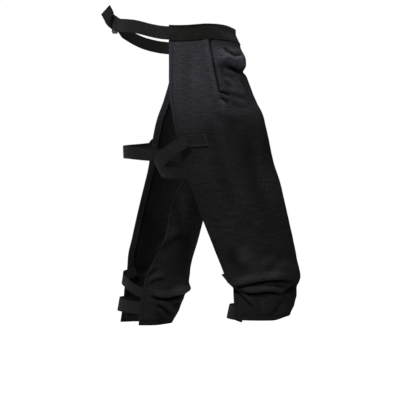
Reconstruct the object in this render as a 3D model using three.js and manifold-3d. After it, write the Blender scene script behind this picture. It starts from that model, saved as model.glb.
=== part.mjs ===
// Protective chaps as they hang on a walking wearer: a waistband with a webbing belt and a side-release
// buckle, and two leg panels that cover the front and the outside of each leg to just below the knee, each
// held by a thigh strap, a knee strap and a calf strap. Millimetres. +Z is up, the wearer faces -Y, so the
// wearer's right side is at -X. The origin is the middle of the waist loop.
import * as THREE from 'three';
import { mergeVertices } from 'three/addons/utils/BufferGeometryUtils.js';
import Module from 'manifold-3d';

const wasm = await Module();
wasm.setup();

// ---- Driving sizes ----

const gap = 0.3; // between two pieces that touch
const facetGap = 0.9; // between a piece and a coarser faceted one that it lies on

// The waist loop, measured at the inner face of the waistband.
const waistHalfBreadth = 154;
const waistHalfDepth = 116.5;
const waistBack = -3.5; // how far the loop's middle lies behind the origin
const waistHeights = [-9, -10, -12, -17, -10, 5, 16]; // of its middle line, every 30 degrees from the front
const waistSquareness = 2.2; // 2 is an ellipse, more is squarer
const frontLean = 14; // how much further forward the band's lower edge lies at the front

const webbingWidth = 25;
const webbingThickness = 1.6;
const casingHeight = webbingWidth + 3;
const casingThickness = 1;
const casingEnd = 96; // degrees round from the front, where the leg panels end
const panelBelowBand = 0.8; // between the band's lower edge and the panels

const panelTop = -33;
const panelLength = 516; // of the right panel from the waistband to the hem, straight down
const liningThickness = 0.8;
const shellThickness = 1.2;
const padLoft = 3.3; // room that the pad takes between lining and shell
const padTopStation = 3.4; // the pad starts at crotch level
const padRamp = 0.12; // share of the panel's width over which the pad thins towards an edge

const flapTurn = 115; // from here the outer side runs straight back instead of round the leg
const thighStrapWidth = 25;
const kneeStrapWidth = 20;
const calfStrapWidth = 26;
const tapeThickness = 1; // hook tape and loop tape
const thighPatchLength = 50;
const splitGap = 1.5; // between a strap's moving part and its sewn part, at the bend

// The cut of a leg panel, the same on both legs, from the waistband to the hem: how far round from the
// front the outer and the inner edge lie, in degrees. An inner edge below zero lies on the inner side of
// the leg.
const cut = [
  { outer: 96, inner: 5 },
  { outer: 98, inner: 4 },
  { outer: 105, inner: -5 },
  { outer: 113, inner: -22 },
  { outer: 117, inner: -45 },
  { outer: 120, inner: -64 },
  { outer: 127, inner: -80 },
  { outer: 140, inner: -84 },
  { outer: 148, inner: -92 },
  { outer: 149, inner: -104 },
  { outer: 148, inner: -106 },
  { outer: 146, inner: -104 },
  { outer: 140, inner: -96 },
];

// Level sections of each leg at the same stations: how far down, as a share of panelLength, how far the
// middle lies to the side and to the back, half the breadth and half the depth, all to the inner face of
// the lining. The right leg steps forward and the left leg trails. thigh, knee and calf say at which
// station each strap runs, at nine places from its free end on the outside round the back to the inner
// edge. tucks say how far each strap is drawn in behind the leg.
const rightLeg = {
  side: -1,
  thigh: [4.1, 4.2, 4.35, 5.14, 5.35, 5.35, 5.25, 5.2, 5.2],
  knee: [9.05, 9.15, 9.25, 9.4, 9.6, 9.8, 9.95, 10.05, 10.1],
  calf: [11.72, 11.64, 11.56, 11.5, 11.5, 11.5, 11.5, 11.5, 11.5],
  tucks: { thigh: 0, knee: 11, calf: 0 },
  sections: [
    { down: 0, out: 0, back: waistBack, breadth: waistHalfBreadth + 1.5, depth: waistHalfDepth + 1.5 },
    { down: 0.0814, out: 14, back: -9, breadth: waistHalfBreadth - 1, depth: waistHalfDepth + 3.5 },
    { down: 0.1725, out: 45, back: -25, breadth: waistHalfBreadth - 24, depth: waistHalfDepth + 3.5 },
    { down: 0.2558, out: 70, back: -44, breadth: 108, depth: 115 },
    { down: 0.3469, out: 91, back: -59, breadth: 86, depth: 112 },
    { down: 0.4283, out: 95, back: -72, breadth: 82, depth: 108 },
    { down: 0.5484, out: 100, back: -97, breadth: 77, depth: 99 },
    { down: 0.6996, out: 106, back: -132, breadth: 67, depth: 82 },
    { down: 0.7694, out: 108, back: -148, breadth: 62, depth: 73 },
    { down: 0.8391, out: 110, back: -159, breadth: 59, depth: 68 },
    { down: 0.8895, out: 110, back: -164, breadth: 55, depth: 59 },
    { down: 0.9438, out: 110, back: -163, breadth: 53, depth: 56 },
    { down: 1, out: 110, back: -158, breadth: 53, depth: 56 },
  ],
};
const leftLeg = {
  side: 1,
  thigh: [3.8, 3.9, 4.1, 4.25, 4.36, 4.5, 4.62, 4.72, 4.75],
  knee: [8.9, 9, 9.1, 9.25, 9.5, 9.85, 10.1, 10.2, 10.25],
  calf: [10.85, 10.85, 10.88, 10.92, 10.95, 11, 11.05, 11.08, 11.1],
  tucks: { thigh: 0, knee: 0, calf: 0 },
  sections: [
    { down: 0, out: 0, back: waistBack, breadth: waistHalfBreadth + 1.5, depth: waistHalfDepth + 1.5 },
    { down: 0.0814, out: 14, back: -4, breadth: waistHalfBreadth - 1, depth: waistHalfDepth - 2.5 },
    { down: 0.1725, out: 45, back: -4, breadth: waistHalfBreadth - 24, depth: waistHalfDepth - 6.5 },
    { down: 0.2597, out: 70, back: 0, breadth: 108, depth: 103 },
    { down: 0.3547, out: 91, back: 6, breadth: 86, depth: 97 },
    { down: 0.4438, out: 95, back: 12, breadth: 80, depth: 90 },
    { down: 0.5601, out: 98, back: 22, breadth: 75, depth: 81 },
    { down: 0.7112, out: 102, back: 32, breadth: 67, depth: 70 },
    { down: 0.781, out: 103, back: 37, breadth: 63, depth: 64 },
    { down: 0.8547, out: 104, back: 42, breadth: 59, depth: 61 },
    { down: 0.9128, out: 105, back: 48, breadth: 56, depth: 61 },
    { down: 0.9787, out: 105, back: 56, breadth: 54, depth: 58 },
    { down: 1.0484, out: 105, back: 68, breadth: 53, depth: 56 },
  ],
};

// ---- Materials ----

const cloth = (color, roughness) => new THREE.MeshStandardMaterial({ color, roughness, metalness: 0 });
const shellCloth = cloth(0x222225, 0.85);
const liningCloth = cloth(0x1b1b1d, 0.7);
const padCloth = cloth(0xd9d6cc, 0.95);
const webbing = cloth(0x161616, 0.8);
const hookLoop = cloth(0x1c1c1c, 0.95);
const buckleNylon = cloth(0x0d0d0d, 0.4);

const chaps = new THREE.Group();

function add(name, geometry, material) {
  const mesh = new THREE.Mesh(geometry, material);
  mesh.name = name;
  chaps.add(mesh);
  return mesh;
}

// ---- Small helpers ----

const lerp = THREE.MathUtils.lerp;
const radians = THREE.MathUtils.degToRad;

// A superellipse: the point at a turn from the front, out to the side and to the back.
function superellipse(turn, breadth, depth, power = waistSquareness) {
  const s = Math.sin(radians(turn));
  const c = Math.cos(radians(turn));
  return new THREE.Vector2(
    breadth * Math.sign(s) * Math.abs(s) ** (2 / power),
    -depth * Math.sign(c) * Math.abs(c) ** (2 / power),
  );
}

// A smooth curve through rows of named values, read at a row number that may lie between two rows.
function rowsOf(rows, names) {
  const curve = new THREE.CatmullRomCurve3(
    rows.map((row) => new THREE.Vector3(...names.map((n) => row[n] ?? 0))), false, 'catmullrom', 0.5);
  return (row) => curve.getPoint(THREE.MathUtils.clamp(row / (rows.length - 1), 0, 1));
}

// A closed solid between two grids of points, point(i, j, 0) on its inner face and point(i, j, 1) on its
// outer one.
function slab(columns, rows, point) {
  const positions = [];
  const index = [];
  const at = (i, j, face) => (face * (rows + 1) + j) * (columns + 1) + i;
  for (let face = 0; face < 2; face++)
    for (let j = 0; j <= rows; j++)
      for (let i = 0; i <= columns; i++) positions.push(...point(i, j, face).toArray());
  const quad = (a, b, c, d) => index.push(a, b, c, a, c, d);
  for (let j = 0; j < rows; j++)
    for (let i = 0; i < columns; i++) {
      quad(at(i, j, 1), at(i + 1, j, 1), at(i + 1, j + 1, 1), at(i, j + 1, 1));
      index.push(at(i, j, 0), at(i + 1, j + 1, 0), at(i + 1, j, 0));
      index.push(at(i, j, 0), at(i, j + 1, 0), at(i + 1, j + 1, 0));
    }
  for (let i = 0; i < columns; i++) {
    quad(at(i, 0, 0), at(i + 1, 0, 0), at(i + 1, 0, 1), at(i, 0, 1));
    quad(at(i + 1, rows, 0), at(i, rows, 0), at(i, rows, 1), at(i + 1, rows, 1));
  }
  for (let j = 0; j < rows; j++) {
    quad(at(0, j + 1, 0), at(0, j, 0), at(0, j, 1), at(0, j + 1, 1));
    quad(at(columns, j, 0), at(columns, j + 1, 0), at(columns, j + 1, 1), at(columns, j, 1));
  }
  const geometry = new THREE.BufferGeometry();
  geometry.setAttribute('position', new THREE.Float32BufferAttribute(positions, 3));
  geometry.setIndex(volumeOf(positions, index) < 0 ? index.reverse() : index);
  return geometry;
}

function volumeOf(positions, index) {
  const [a, b, c] = [new THREE.Vector3(), new THREE.Vector3(), new THREE.Vector3()];
  let volume = 0;
  for (let k = 0; k < index.length; k += 3) {
    a.fromArray(positions, 3 * index[k]);
    b.fromArray(positions, 3 * index[k + 1]);
    c.fromArray(positions, 3 * index[k + 2]);
    volume += a.dot(b.cross(c)) / 6;
  }
  return volume;
}

// ---- Waistband and belt ----

const waistLine = rowsOf(waistHeights.map((height) => ({ height })), ['height']);

// Height of the waist loop's middle line at a turn.
function waistHeightAt(turn) {
  const away = Math.abs(turn) % 360;
  return waistLine(Math.min(away, 360 - away) / 30).x;
}

// A point on the waist loop: turn round from the front, positive towards the wearer's right; lift out from
// the inner face; rise up from the loop's middle line.
function waistPoint(turn, lift, rise) {
  const plan = (t) => superellipse(t, waistHalfBreadth, waistHalfDepth);
  const p = plan(turn);
  const step = 0.5;
  const along = plan(turn + step).sub(plan(turn - step)).normalize();
  const lean = frontLean * (rise / casingHeight + 0.5) * Math.max(0, Math.cos(radians(turn))) ** 1.5;
  const x = p.x + along.y * lift;
  const y = p.y - along.x * lift + lean;
  return new THREE.Vector3(-x, y + waistBack, waistHeightAt(turn) + rise);
}

// A band round part of the waist loop.
function waistBand(from, to, columns, lift, thickness, height) {
  return slab(columns, 1, (i, j, face) =>
    waistPoint(lerp(from, to, i / columns), lift + face * thickness, (j - 0.5) * height));
}

const casingColumns = 32;
const webbingLift = casingThickness + gap;
const faceLift = webbingLift + webbingThickness + gap;
function casingBand(lift) {
  return waistBand(-casingEnd, casingEnd, casingColumns, lift, casingThickness, casingHeight);
}
add('waistband_lining', casingBand(0), shellCloth);
add('waistband_face', casingBand(faceLift), shellCloth);

// ---- Side-release buckle, across the small of the back ----
// Its own frame: +X towards the wearer's left, +Y away from the back, +Z up. The plug half points to +X
// into the socket half.

const buckle = {
  height: webbingWidth + 7,
  thickness: 10,
  socketMouth: -9,
  socketEnd: 29,
  plugEnd: -31,
  wall: 3,
  slot: 5, // the room for a fold of webbing beside a bar
  bar: 4,
  armReach: 15,
  armThickness: 3,
  play: 0.5,
};
const buckleSlotHeight = webbingWidth + 1.4;
const plugBar = buckle.bar - 1;
const plugThickness = 5;
const buckleOff = 7.5; // from the waist loop to the buckle's middle
const bucklePlace = new THREE.Vector3(-6, waistHalfDepth + waistBack + buckleOff, waistHeightAt(180));

function box(x0, x1, y0, y1, z0, z1) {
  const g = new THREE.BoxGeometry(x1 - x0, y1 - y0, z1 - z0);
  return g.translate((x0 + x1) / 2, (y0 + y1) / 2, (z0 + z1) / 2);
}

// A plate with rounded corners in X and Z and rounded rims, thick in Y.
function plate(x0, x1, z0, z1, thickness, corner, rim) {
  const w = x1 - x0;
  const h = z1 - z0;
  const r = corner - rim;
  const shape = new THREE.Shape();
  const [left, right, low, high] = [-w / 2 + rim, w / 2 - rim, -h / 2 + rim, h / 2 - rim];
  shape.moveTo(left + r, low);
  shape.lineTo(right - r, low).absarc(right - r, low + r, r, -Math.PI / 2, 0);
  shape.lineTo(right, high - r).absarc(right - r, high - r, r, 0, Math.PI / 2);
  shape.lineTo(left + r, high).absarc(left + r, high - r, r, Math.PI / 2, Math.PI);
  shape.lineTo(left, low + r).absarc(left + r, low + r, r, Math.PI, 1.5 * Math.PI);
  const g = new THREE.ExtrudeGeometry(shape, {
    depth: thickness - 2 * rim, curveSegments: 4,
    bevelEnabled: true, bevelThickness: rim, bevelSize: rim, bevelSegments: 2,
  });
  g.translate(0, 0, rim - thickness / 2).rotateX(Math.PI / 2);
  return g.translate((x0 + x1) / 2, 0, (z0 + z1) / 2);
}

function solid(geometry) {
  const bare = geometry.clone();
  bare.deleteAttribute('normal');
  bare.deleteAttribute('uv');
  const merged = mergeVertices(bare, 1e-4);
  const triVerts = new Uint32Array(merged.index.array);
  const vertProperties = merged.attributes.position.array;
  return new wasm.Manifold(new wasm.Mesh({ numProp: 3, vertProperties, triVerts }));
}

function geometryOf(manifold) {
  const mesh = manifold.getMesh();
  const g = new THREE.BufferGeometry();
  g.setAttribute('position', new THREE.BufferAttribute(new Float32Array(mesh.vertProperties), 3));
  return g.setIndex(new THREE.BufferAttribute(new Uint32Array(mesh.triVerts), 1));
}

function placeOnBack(geometry) {
  return geometry.translate(bucklePlace.x, bucklePlace.y, bucklePlace.z);
}

function buckleSocket() {
  const b = buckle;
  const halfHeight = b.height / 2;
  const inside = halfHeight - b.wall;
  const deep = b.thickness;
  const barStart = b.socketEnd - b.bar;
  const cavityEnd = b.armReach + 2;
  const window = { from: 1, to: cavityEnd };
  const cavityHalf = b.thickness / 2 - 2;
  const slotHalf = buckleSlotHeight / 2;
  return solid(plate(b.socketMouth, b.socketEnd, -halfHeight, halfHeight, b.thickness, 5, 1))
    .subtract(solid(box(b.socketMouth - 1, cavityEnd, -cavityHalf, cavityHalf, -inside, inside)))
    .subtract(solid(box(window.from, window.to, -cavityHalf, cavityHalf, -deep * 2, deep * 2)))
    .subtract(solid(box(barStart - b.slot, barStart, -deep, deep, -slotHalf, slotHalf)));
}

function bucklePlug() {
  const b = buckle;
  const halfHeight = b.height / 2;
  const nose = b.socketMouth - b.play;
  const slotHalf = buckleSlotHeight / 2;
  const endSlot = b.plugEnd + plugBar;
  const frontSlot = endSlot + b.slot + plugBar;
  const guideHalf = 2.5;
  return solid(plate(b.plugEnd, nose, -halfHeight, halfHeight, plugThickness, 4, 1))
    .subtract(solid(box(endSlot, endSlot + b.slot, -10, 10, -slotHalf, slotHalf)))
    .subtract(solid(box(frontSlot, frontSlot + b.slot, -10, 10, -slotHalf, slotHalf)))
    .add(solid(plate(nose - 2, b.armReach - 1, -guideHalf, guideHalf, 4, 1.6, 0.6)));
}

// One springy arm of the plug, side 1 above the guide and -1 below it, with the shoulder that shows in the
// socket's side.
function buckleLatch(side) {
  const b = buckle;
  const root = b.socketMouth - b.play + 2 * gap + 0.1;
  const shape = new THREE.Shape();
  shape.moveTo(root, 9.5);
  shape.lineTo(3, 10.5);
  shape.quadraticCurveTo(4, 16.8, 6.5, 16.9);
  shape.quadraticCurveTo(11, 16.5, b.armReach - 1, 9.5);
  shape.lineTo(b.armReach - 2, 7.5);
  shape.lineTo(root, 6);
  const g = new THREE.ExtrudeGeometry(shape, {
    depth: b.armThickness - 0.8, curveSegments: 5,
    bevelEnabled: true, bevelThickness: 0.4, bevelSize: 0.3, bevelSegments: 1,
  });
  g.translate(0, 0, 0.4 - b.armThickness / 2).rotateX(Math.PI / 2);
  if (side < 0) g.rotateX(Math.PI);
  return geometryOf(solid(g));
}

add('buckle_socket', placeOnBack(geometryOf(buckleSocket())), buckleNylon);
add('buckle_plug', placeOnBack(geometryOf(bucklePlug())), buckleNylon);
add('buckle_latch_upper', placeOnBack(buckleLatch(1)), buckleNylon);
add('buckle_latch_lower', placeOnBack(buckleLatch(-1)), buckleNylon);

// ---- Strips of webbing along a path ----

// A strip along a curve, as a point for each share t of its length, edge j and face. across(t) gives the
// direction of its width.
function stripPoint(curve, width, thickness, across) {
  return (t, j, face) => {
    const w = across(t).normalize();
    const out = new THREE.Vector3().crossVectors(curve.getTangent(t), w).normalize();
    const edge = curve.getPoint(t).addScaledVector(w, (j - 0.5) * width);
    return edge.addScaledVector(out, (face - 0.5) * thickness);
  };
}

function strip(curve, steps, width, thickness, across) {
  const point = stripPoint(curve, width, thickness, across);
  return slab(steps, 1, (i, j, face) => point(i / steps, j, face));
}

// The belt from one end of the casing to the other inside it, and on round the left hip to a fold over the
// socket's bar.
const beltTurnAtSocket = -163;
const socketBarX = bucklePlace.x + buckle.socketEnd - buckle.bar / 2;
const beltMiddle = webbingLift + webbingThickness / 2;
const upright = () => new THREE.Vector3(0, 0, 1);

// The end of a strap that runs up to a bar from the side given by towards, under the bar and up through the
// slot beyond it.
function foldRound(barX, barHalfWidth, frameHalf, towards) {
  const { y, z } = bucklePlace;
  const under = y - frameHalf - webbingThickness / 2 - gap;
  const beyond = barX - towards * (barHalfWidth + webbingThickness / 2 + 3 * gap);
  return [
    new THREE.Vector3(barX + towards * 14, under - 0.5, z),
    new THREE.Vector3(barX + towards * 3, under - 0.4, z),
    new THREE.Vector3(barX - towards * (barHalfWidth + 0.6), under - 0.3, z),
    new THREE.Vector3(beyond, y - 0.5, z),
  ];
}

const leftPath = [];
for (let turn = -casingEnd - 0.3; turn >= beltTurnAtSocket; turn -= 8) {
  leftPath.push(waistPoint(turn, beltMiddle, 0));
}
leftPath.push(...foldRound(socketBarX, buckle.bar / 2, buckle.thickness / 2, 1));
const leftBelt = stripPoint(new THREE.CatmullRomCurve3(leftPath), webbingWidth, webbingThickness, upright);
const leftSteps = 24;
add('belt_webbing', slab(casingColumns + leftSteps, 1, (i, j, face) => {
  if (i < leftSteps) return leftBelt(1 - i / leftSteps, j, face);
  const turn = lerp(-casingEnd, casingEnd, (i - leftSteps) / casingColumns);
  return waistPoint(turn, webbingLift + face * webbingThickness, (j - 0.5) * webbingWidth);
}), webbing);

// The belt's right end, from the casing to the plug's adjuster.
const adjusterBarX = bucklePlace.x + buckle.plugEnd + plugBar + buckle.slot + plugBar / 2;
const rightPath = [];
for (let turn = casingEnd + 0.3; turn <= 160; turn += 9) rightPath.push(waistPoint(turn, beltMiddle, 0));
rightPath.push(...foldRound(adjusterBarX, plugBar / 2, plugThickness / 2, -1));
const rightCurve = new THREE.CatmullRomCurve3(rightPath);
add('belt_end_right', strip(rightCurve, 22, webbingWidth, webbingThickness, upright), webbing);

// The loose tail comes over the adjuster's bars, leans, and stands up and back.
const tailOver = bucklePlace.y + plugThickness / 2 + webbingThickness / 2 + gap;
const tailPath = [
  [1.5, 0, 0], [-6, 0, 0], [-11, 0.5, 0.5], [-14.5, 2, 3.5],
  [-15.5, 4.4, 10], [-15.2, 7.8, 17], [-15, 11.8, 24.5],
].map(([x, y, z]) => new THREE.Vector3(adjusterBarX + x, tailOver + y, bucklePlace.z + z));
const tailCurve = new THREE.CatmullRomCurve3(tailPath);
const tailLean = 42; // degrees that the tail turns from upright
function tailAcross(t) {
  const lean = radians(tailLean * THREE.MathUtils.smoothstep(t, 0.28, 0.6));
  return new THREE.Vector3(0, -Math.sin(lean), Math.cos(lean));
}
add('belt_tail', strip(tailCurve, 16, webbingWidth, webbingThickness, tailAcross), webbing);

// ---- Leg panels ----

const stationCount = cut.length;

// A leg's surface: point(turn, station, flap) is on the inner face of the lining, flap 1 where the outer
// side runs straight back from flapTurn, and 0 where it goes on round the leg.
function surfaceOf(leg) {
  const sections = leg.sections.map((row) => ({ ...row, z: panelTop - row.down * panelLength }));
  const place = rowsOf(sections, ['out', 'back', 'z']);
  const girth = rowsOf(leg.sections, ['breadth', 'depth']);
  const edges = rowsOf(cut, ['outer', 'inner']);

  function point(turn, station, flap = 1) {
    const middle = place(station);
    const size = girth(station);
    const round = superellipse(turn, size.x, size.y);
    if (turn > flapTurn && flap > 0) {
      const start = superellipse(flapTurn, size.x, size.y);
      const before = superellipse(flapTurn - 1, size.x, size.y);
      const along = superellipse(flapTurn + 1, size.x, size.y).sub(before).normalize();
      const run = radians(turn - flapTurn) * (size.x + size.y) / 2;
      round.lerp(start.addScaledVector(along, run), flap);
    }
    const p = new THREE.Vector3(leg.side * (middle.x + round.x), middle.y + round.y, middle.z);
    // the top follows the lower edge of the waistband
    const atBand = waistHeightAt(turn) - casingHeight / 2 - panelBelowBand;
    p.z += (atBand - place(0).z) * Math.max(0, 1 - station);
    return p;
  }

  function normal(turn, station, flap = 1) {
    const round = point(turn + 0.5, station, flap).sub(point(turn - 0.5, station, flap));
    const s = THREE.MathUtils.clamp(station, 0.05, stationCount - 1.05);
    const down = point(turn, s + 0.05, flap).sub(point(turn, s - 0.05, flap));
    return new THREE.Vector3().crossVectors(down, round).multiplyScalar(leg.side).normalize();
  }

  const turnAt = (u, station) => lerp(edges(station).x, edges(station).y, u);

  // How full the panel is at a place: 0 at its edges, where lining and shell meet, and 1 over the pad.
  function fullness(turn, station) {
    const edge = edges(station);
    const u = THREE.MathUtils.clamp((edge.x - turn) / (edge.x - edge.y), 0, 1);
    const inFromSide = Math.min(u, 1 - u) / padRamp;
    const inFromEnd = Math.min((station - padTopStation + 1) / 1.2, (stationCount - 1 - station) / 0.8);
    return THREE.MathUtils.smoothstep(Math.min(inFromSide, inFromEnd), 0, 1);
  }
  const shellInside = (turn, station) => liningThickness + gap + 0.1 + padLoft * fullness(turn, station);

  // The station at a height.
  function stationAt(z) {
    let [low, high] = [0, stationCount - 1];
    for (let k = 0; k < 30; k++) {
      const middle = (low + high) / 2;
      if (place(middle).z > z) low = middle;
      else high = middle;
    }
    return low;
  }

  const lifted = (turn, station, lift, flap = 1) =>
    point(turn, station, flap).addScaledVector(normal(turn, station, flap), lift);
  return { point, normal, turnAt, shellInside, stationAt, lifted };
}

const panelColumns = 16;
const rowsPerStation = 2;
const panelRows = (stationCount - 1) * rowsPerStation;

// One layer of a panel, over columns and rows of the panel's grid; lift(turn, station, face) is how far a
// face lies from the lining's inside.
function layer(surface, columns, rows, lift) {
  return slab(columns.to - columns.from, rows.to - rows.from, (i, j, face) => {
    const station = (rows.from + j) / rowsPerStation;
    const turn = surface.turnAt((columns.from + i) / panelColumns, station);
    return surface.lifted(turn, station, lift(turn, station, face));
  });
}

function legPanels(name, leg) {
  const surface = surfaceOf(leg);
  const allColumns = { from: 0, to: panelColumns };
  const allRows = { from: 0, to: panelRows };
  const padColumns = { from: 1, to: panelColumns - 1 };
  const padRows = { from: Math.round(padTopStation * rowsPerStation), to: panelRows - 1 };
  add(`${name}_shell`, layer(surface, allColumns, allRows, (turn, station, face) =>
    surface.shellInside(turn, station) + face * shellThickness), shellCloth);
  add(`${name}_lining`, layer(surface, allColumns, allRows, (turn, station, face) =>
    face * liningThickness), liningCloth);
  add(`${name}_pad`, layer(surface, padColumns, padRows, (turn, station, face) =>
    (face ? surface.shellInside(turn, station) - gap : liningThickness + gap)), padCloth);
  return surface;
}

// ---- Straps ----

// The turn that lies a distance along the surface away from another one, at a station.
function turnAfter(surface, turn, station, distance) {
  const step = Math.sign(distance) * 0.5;
  let [left, at] = [Math.abs(distance), turn];
  while (left > 0) {
    left -= surface.point(at + step, station).distanceTo(surface.point(at, station));
    at += step;
  }
  return at;
}

// The loop tape that a thigh strap closes on, on the outside of the panel, from near the outer edge forwards.
function thighPatch(surface, station, lift) {
  const steps = 6;
  const start = turnAfter(surface, surface.turnAt(0, station), station, -4);
  const { z } = surface.point(start, station);
  const turns = [];
  for (let i = 0; i <= steps; i++) {
    turns.push(turnAfter(surface, start, station, -0.01 - (i / steps) * thighPatchLength));
  }
  return slab(steps, 2, (i, j, face) => {
    const at = surface.stationAt(z + (i / steps) * 3 + (j / 2 - 0.5) * (thighStrapWidth + 1));
    return surface.lifted(turns[i], at, lift(turns[i], at) + face * tapeThickness);
  });
}

const sewnGap = 1.6;
const sewnLift = -sewnGap - webbingThickness / 2; // the middle of a strap sewn to the inside of a panel
const tapePair = 2 * (tapeThickness + gap) + gap;

// The course of a strap round the back of a leg, as rows of turn, station, lift and flap. lap is how far
// its free end reaches past the panel's outer edge, freeLift is the height of that end's middle over the
// lining's inside, and tuck is how far it is drawn in at the back.
function strapCourse(surface, stations, lap, freeLift, tuck) {
  const outer = surface.turnAt(0, stations[0]);
  const inner = 360 + surface.turnAt(1, stations[7]);
  const turns = [outer - lap, outer - lap / 2, outer + 1];
  for (let k = 1; k <= 3; k++) turns.push(lerp(outer, inner, k / 4));
  turns.push(inner - 8, inner + 3, inner + 11);
  const slack = 0.5;
  const round = [slack - 0.6 * tuck, slack - tuck, slack - 0.6 * tuck];
  const lifts = [freeLift, freeLift, freeLift, ...round, sewnLift / 2, sewnLift, sewnLift];
  const flaps = [1, 1, 1, 0.25, 0, 0, 0, 0, 0];
  return turns.map((turn, k) => ({ turn, station: stations[k], lift: lifts[k], flap: flaps[k] }));
}

// The middle line of a course and the way out from the leg there, at a share of its length.
function courseLine(surface, course) {
  const at = rowsOf(course, ['turn', 'station', 'lift']);
  const flapAt = rowsOf(course, ['flap']);
  return (share, offset = 0) => {
    const row = share * (course.length - 1);
    const { x: turn, y: station, z: lift } = at(row);
    const flap = THREE.MathUtils.clamp(flapAt(row).x, 0, 1);
    return { p: surface.lifted(turn, station, lift + offset, flap), n: surface.normal(turn, station, flap) };
  };
}

// Part of a strap along its course's line, from one share of it to another, offset outwards.
function strapPart(line, width, thickness, steps, from, to, offset = 0) {
  return slab(steps, 1, (i, j, face) => {
    const share = lerp(from, to, i / steps);
    const { p, n } = line(share, offset);
    const along = line(share + 0.006).p.sub(line(share - 0.006).p).normalize();
    const w = new THREE.Vector3().crossVectors(along, n).normalize();
    const out = new THREE.Vector3().crossVectors(w, along).normalize();
    if (out.dot(n) < 0) out.negate();
    return p.addScaledVector(w, (j - 0.5) * width).addScaledVector(out, (face - 0.5) * thickness);
  });
}

// A strap in two nodes: the part that opens, and the part sewn to the inner edge, with the bend between
// them at a share of the course.
function strap(name, line, width, bend) {
  let after = bend;
  while (line(after).p.distanceTo(line(bend).p) < splitGap) after += 0.0005;
  const steps = 28;
  add(`${name}_strap`, strapPart(line, width, webbingThickness, Math.round(steps * bend), 0, bend), webbing);
  const sewnSteps = Math.ceil(steps * (1 - bend));
  add(`${name}_strap_sewn`, strapPart(line, width, webbingThickness, sewnSteps, after, 1), webbing);
}

const tapeReach = 0.1; // share of a strap's course that its hook tape covers
const overTape = (webbingThickness + tapeThickness) / 2 + gap;

// The thigh strap closes on the outside of the panel's outer edge.
function thighStrap(name, surface, stations, tuck) {
  const patchLift = (turn, station) => surface.shellInside(turn, station) + shellThickness + facetGap;
  add(`${name}_thigh_loop_tape`, thighPatch(surface, stations[0], patchLift), hookLoop);
  const edge = surface.turnAt(0, stations[0]);
  const freeLift = patchLift(edge - 9, stations[0]) + tapeThickness + tapePair + webbingThickness / 2;
  const line = courseLine(surface, strapCourse(surface, stations, 11, freeLift, tuck));
  strap(`${name}_thigh`, line, thighStrapWidth, 0.5);
  const hooks = strapPart(line, thighStrapWidth - 3, tapeThickness, 3, 0.01, tapeReach, -overTape);
  add(`${name}_thigh_hook_tape`, hooks, hookLoop);
}

// The knee and calf straps close on the inside of the panel's outer edge.
function lowerStrap(name, surface, stations, width, tuck) {
  const line = courseLine(surface, strapCourse(surface, stations, 17, sewnLift - tapePair, tuck));
  strap(name, line, width, 0.8);
  add(`${name}_hook_tape`, strapPart(line, width - 3, tapeThickness, 4, 0.01, tapeReach, overTape), hookLoop);
  const loopOffset = overTape + tapeThickness + 2 * gap;
  const loops = strapPart(line, width, tapeThickness, 5, 0, tapeReach + 0.06, loopOffset);
  add(`${name}_loop_tape`, loops, hookLoop);
}

for (const [name, leg] of Object.entries({ right: rightLeg, left: leftLeg })) {
  const surface = legPanels(name, leg);
  thighStrap(name, surface, leg.thigh, leg.tucks.thigh);
  lowerStrap(`${name}_knee`, surface, leg.knee, kneeStrapWidth, leg.tucks.knee);
  lowerStrap(`${name}_calf`, surface, leg.calf, calfStrapWidth, leg.tucks.calf);
}

export default chaps;
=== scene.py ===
import math

import bmesh
import bpy
import numpy as np
from mathutils import Matrix, Vector, noise


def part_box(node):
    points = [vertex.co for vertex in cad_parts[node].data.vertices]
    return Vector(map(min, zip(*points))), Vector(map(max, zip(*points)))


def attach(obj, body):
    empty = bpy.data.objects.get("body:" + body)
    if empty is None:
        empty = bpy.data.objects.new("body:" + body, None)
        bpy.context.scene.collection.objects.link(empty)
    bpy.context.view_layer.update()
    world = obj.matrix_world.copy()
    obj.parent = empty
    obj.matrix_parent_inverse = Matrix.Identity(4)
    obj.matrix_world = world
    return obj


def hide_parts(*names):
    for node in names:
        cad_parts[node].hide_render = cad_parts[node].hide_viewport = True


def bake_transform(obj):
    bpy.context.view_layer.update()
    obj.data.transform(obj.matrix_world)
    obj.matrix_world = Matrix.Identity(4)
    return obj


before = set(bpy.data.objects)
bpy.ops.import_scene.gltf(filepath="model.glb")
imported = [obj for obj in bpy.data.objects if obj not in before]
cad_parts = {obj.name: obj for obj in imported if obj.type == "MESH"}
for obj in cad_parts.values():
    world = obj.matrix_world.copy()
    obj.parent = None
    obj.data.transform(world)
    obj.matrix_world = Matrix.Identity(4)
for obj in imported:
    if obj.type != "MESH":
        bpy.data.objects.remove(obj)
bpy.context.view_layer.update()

mm = 0.001
scene = bpy.context.scene


# maths shared by every piece
def ease(value, low=0.0, high=1.0):
    t = np.clip((np.asarray(value, float) - low) / (high - low), 0, 1)
    return t * t * (3 - 2 * t)


def bump(value, middle, width):
    return np.exp(-((value - middle) / width) ** 2)


def spline(rows, at):
    # an even Catmull-Rom curve through the rows, read at row numbers that may lie between two rows
    rows = np.asarray(rows, float)
    points = np.vstack([2 * rows[0] - rows[1], rows, 2 * rows[-1] - rows[-2]])
    at = np.clip(np.asarray(at, float), 0, len(rows) - 1)
    i = np.minimum(at.astype(int), len(rows) - 2)
    t = (at - i)[..., None]
    p0, p1, p2, p3 = points[i], points[i + 1], points[i + 2], points[i + 3]
    straight = 2 * p1 + (p2 - p0) * t
    square = (2 * p0 - 5 * p1 + 4 * p2 - p3) * t**2
    cube = (3 * p1 - p0 - 3 * p2 + p3) * t**3
    return 0.5 * (straight + square + cube)


def unit(vectors):
    return vectors / np.maximum(np.linalg.norm(vectors, axis=-1, keepdims=True), 1e-12)


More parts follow.
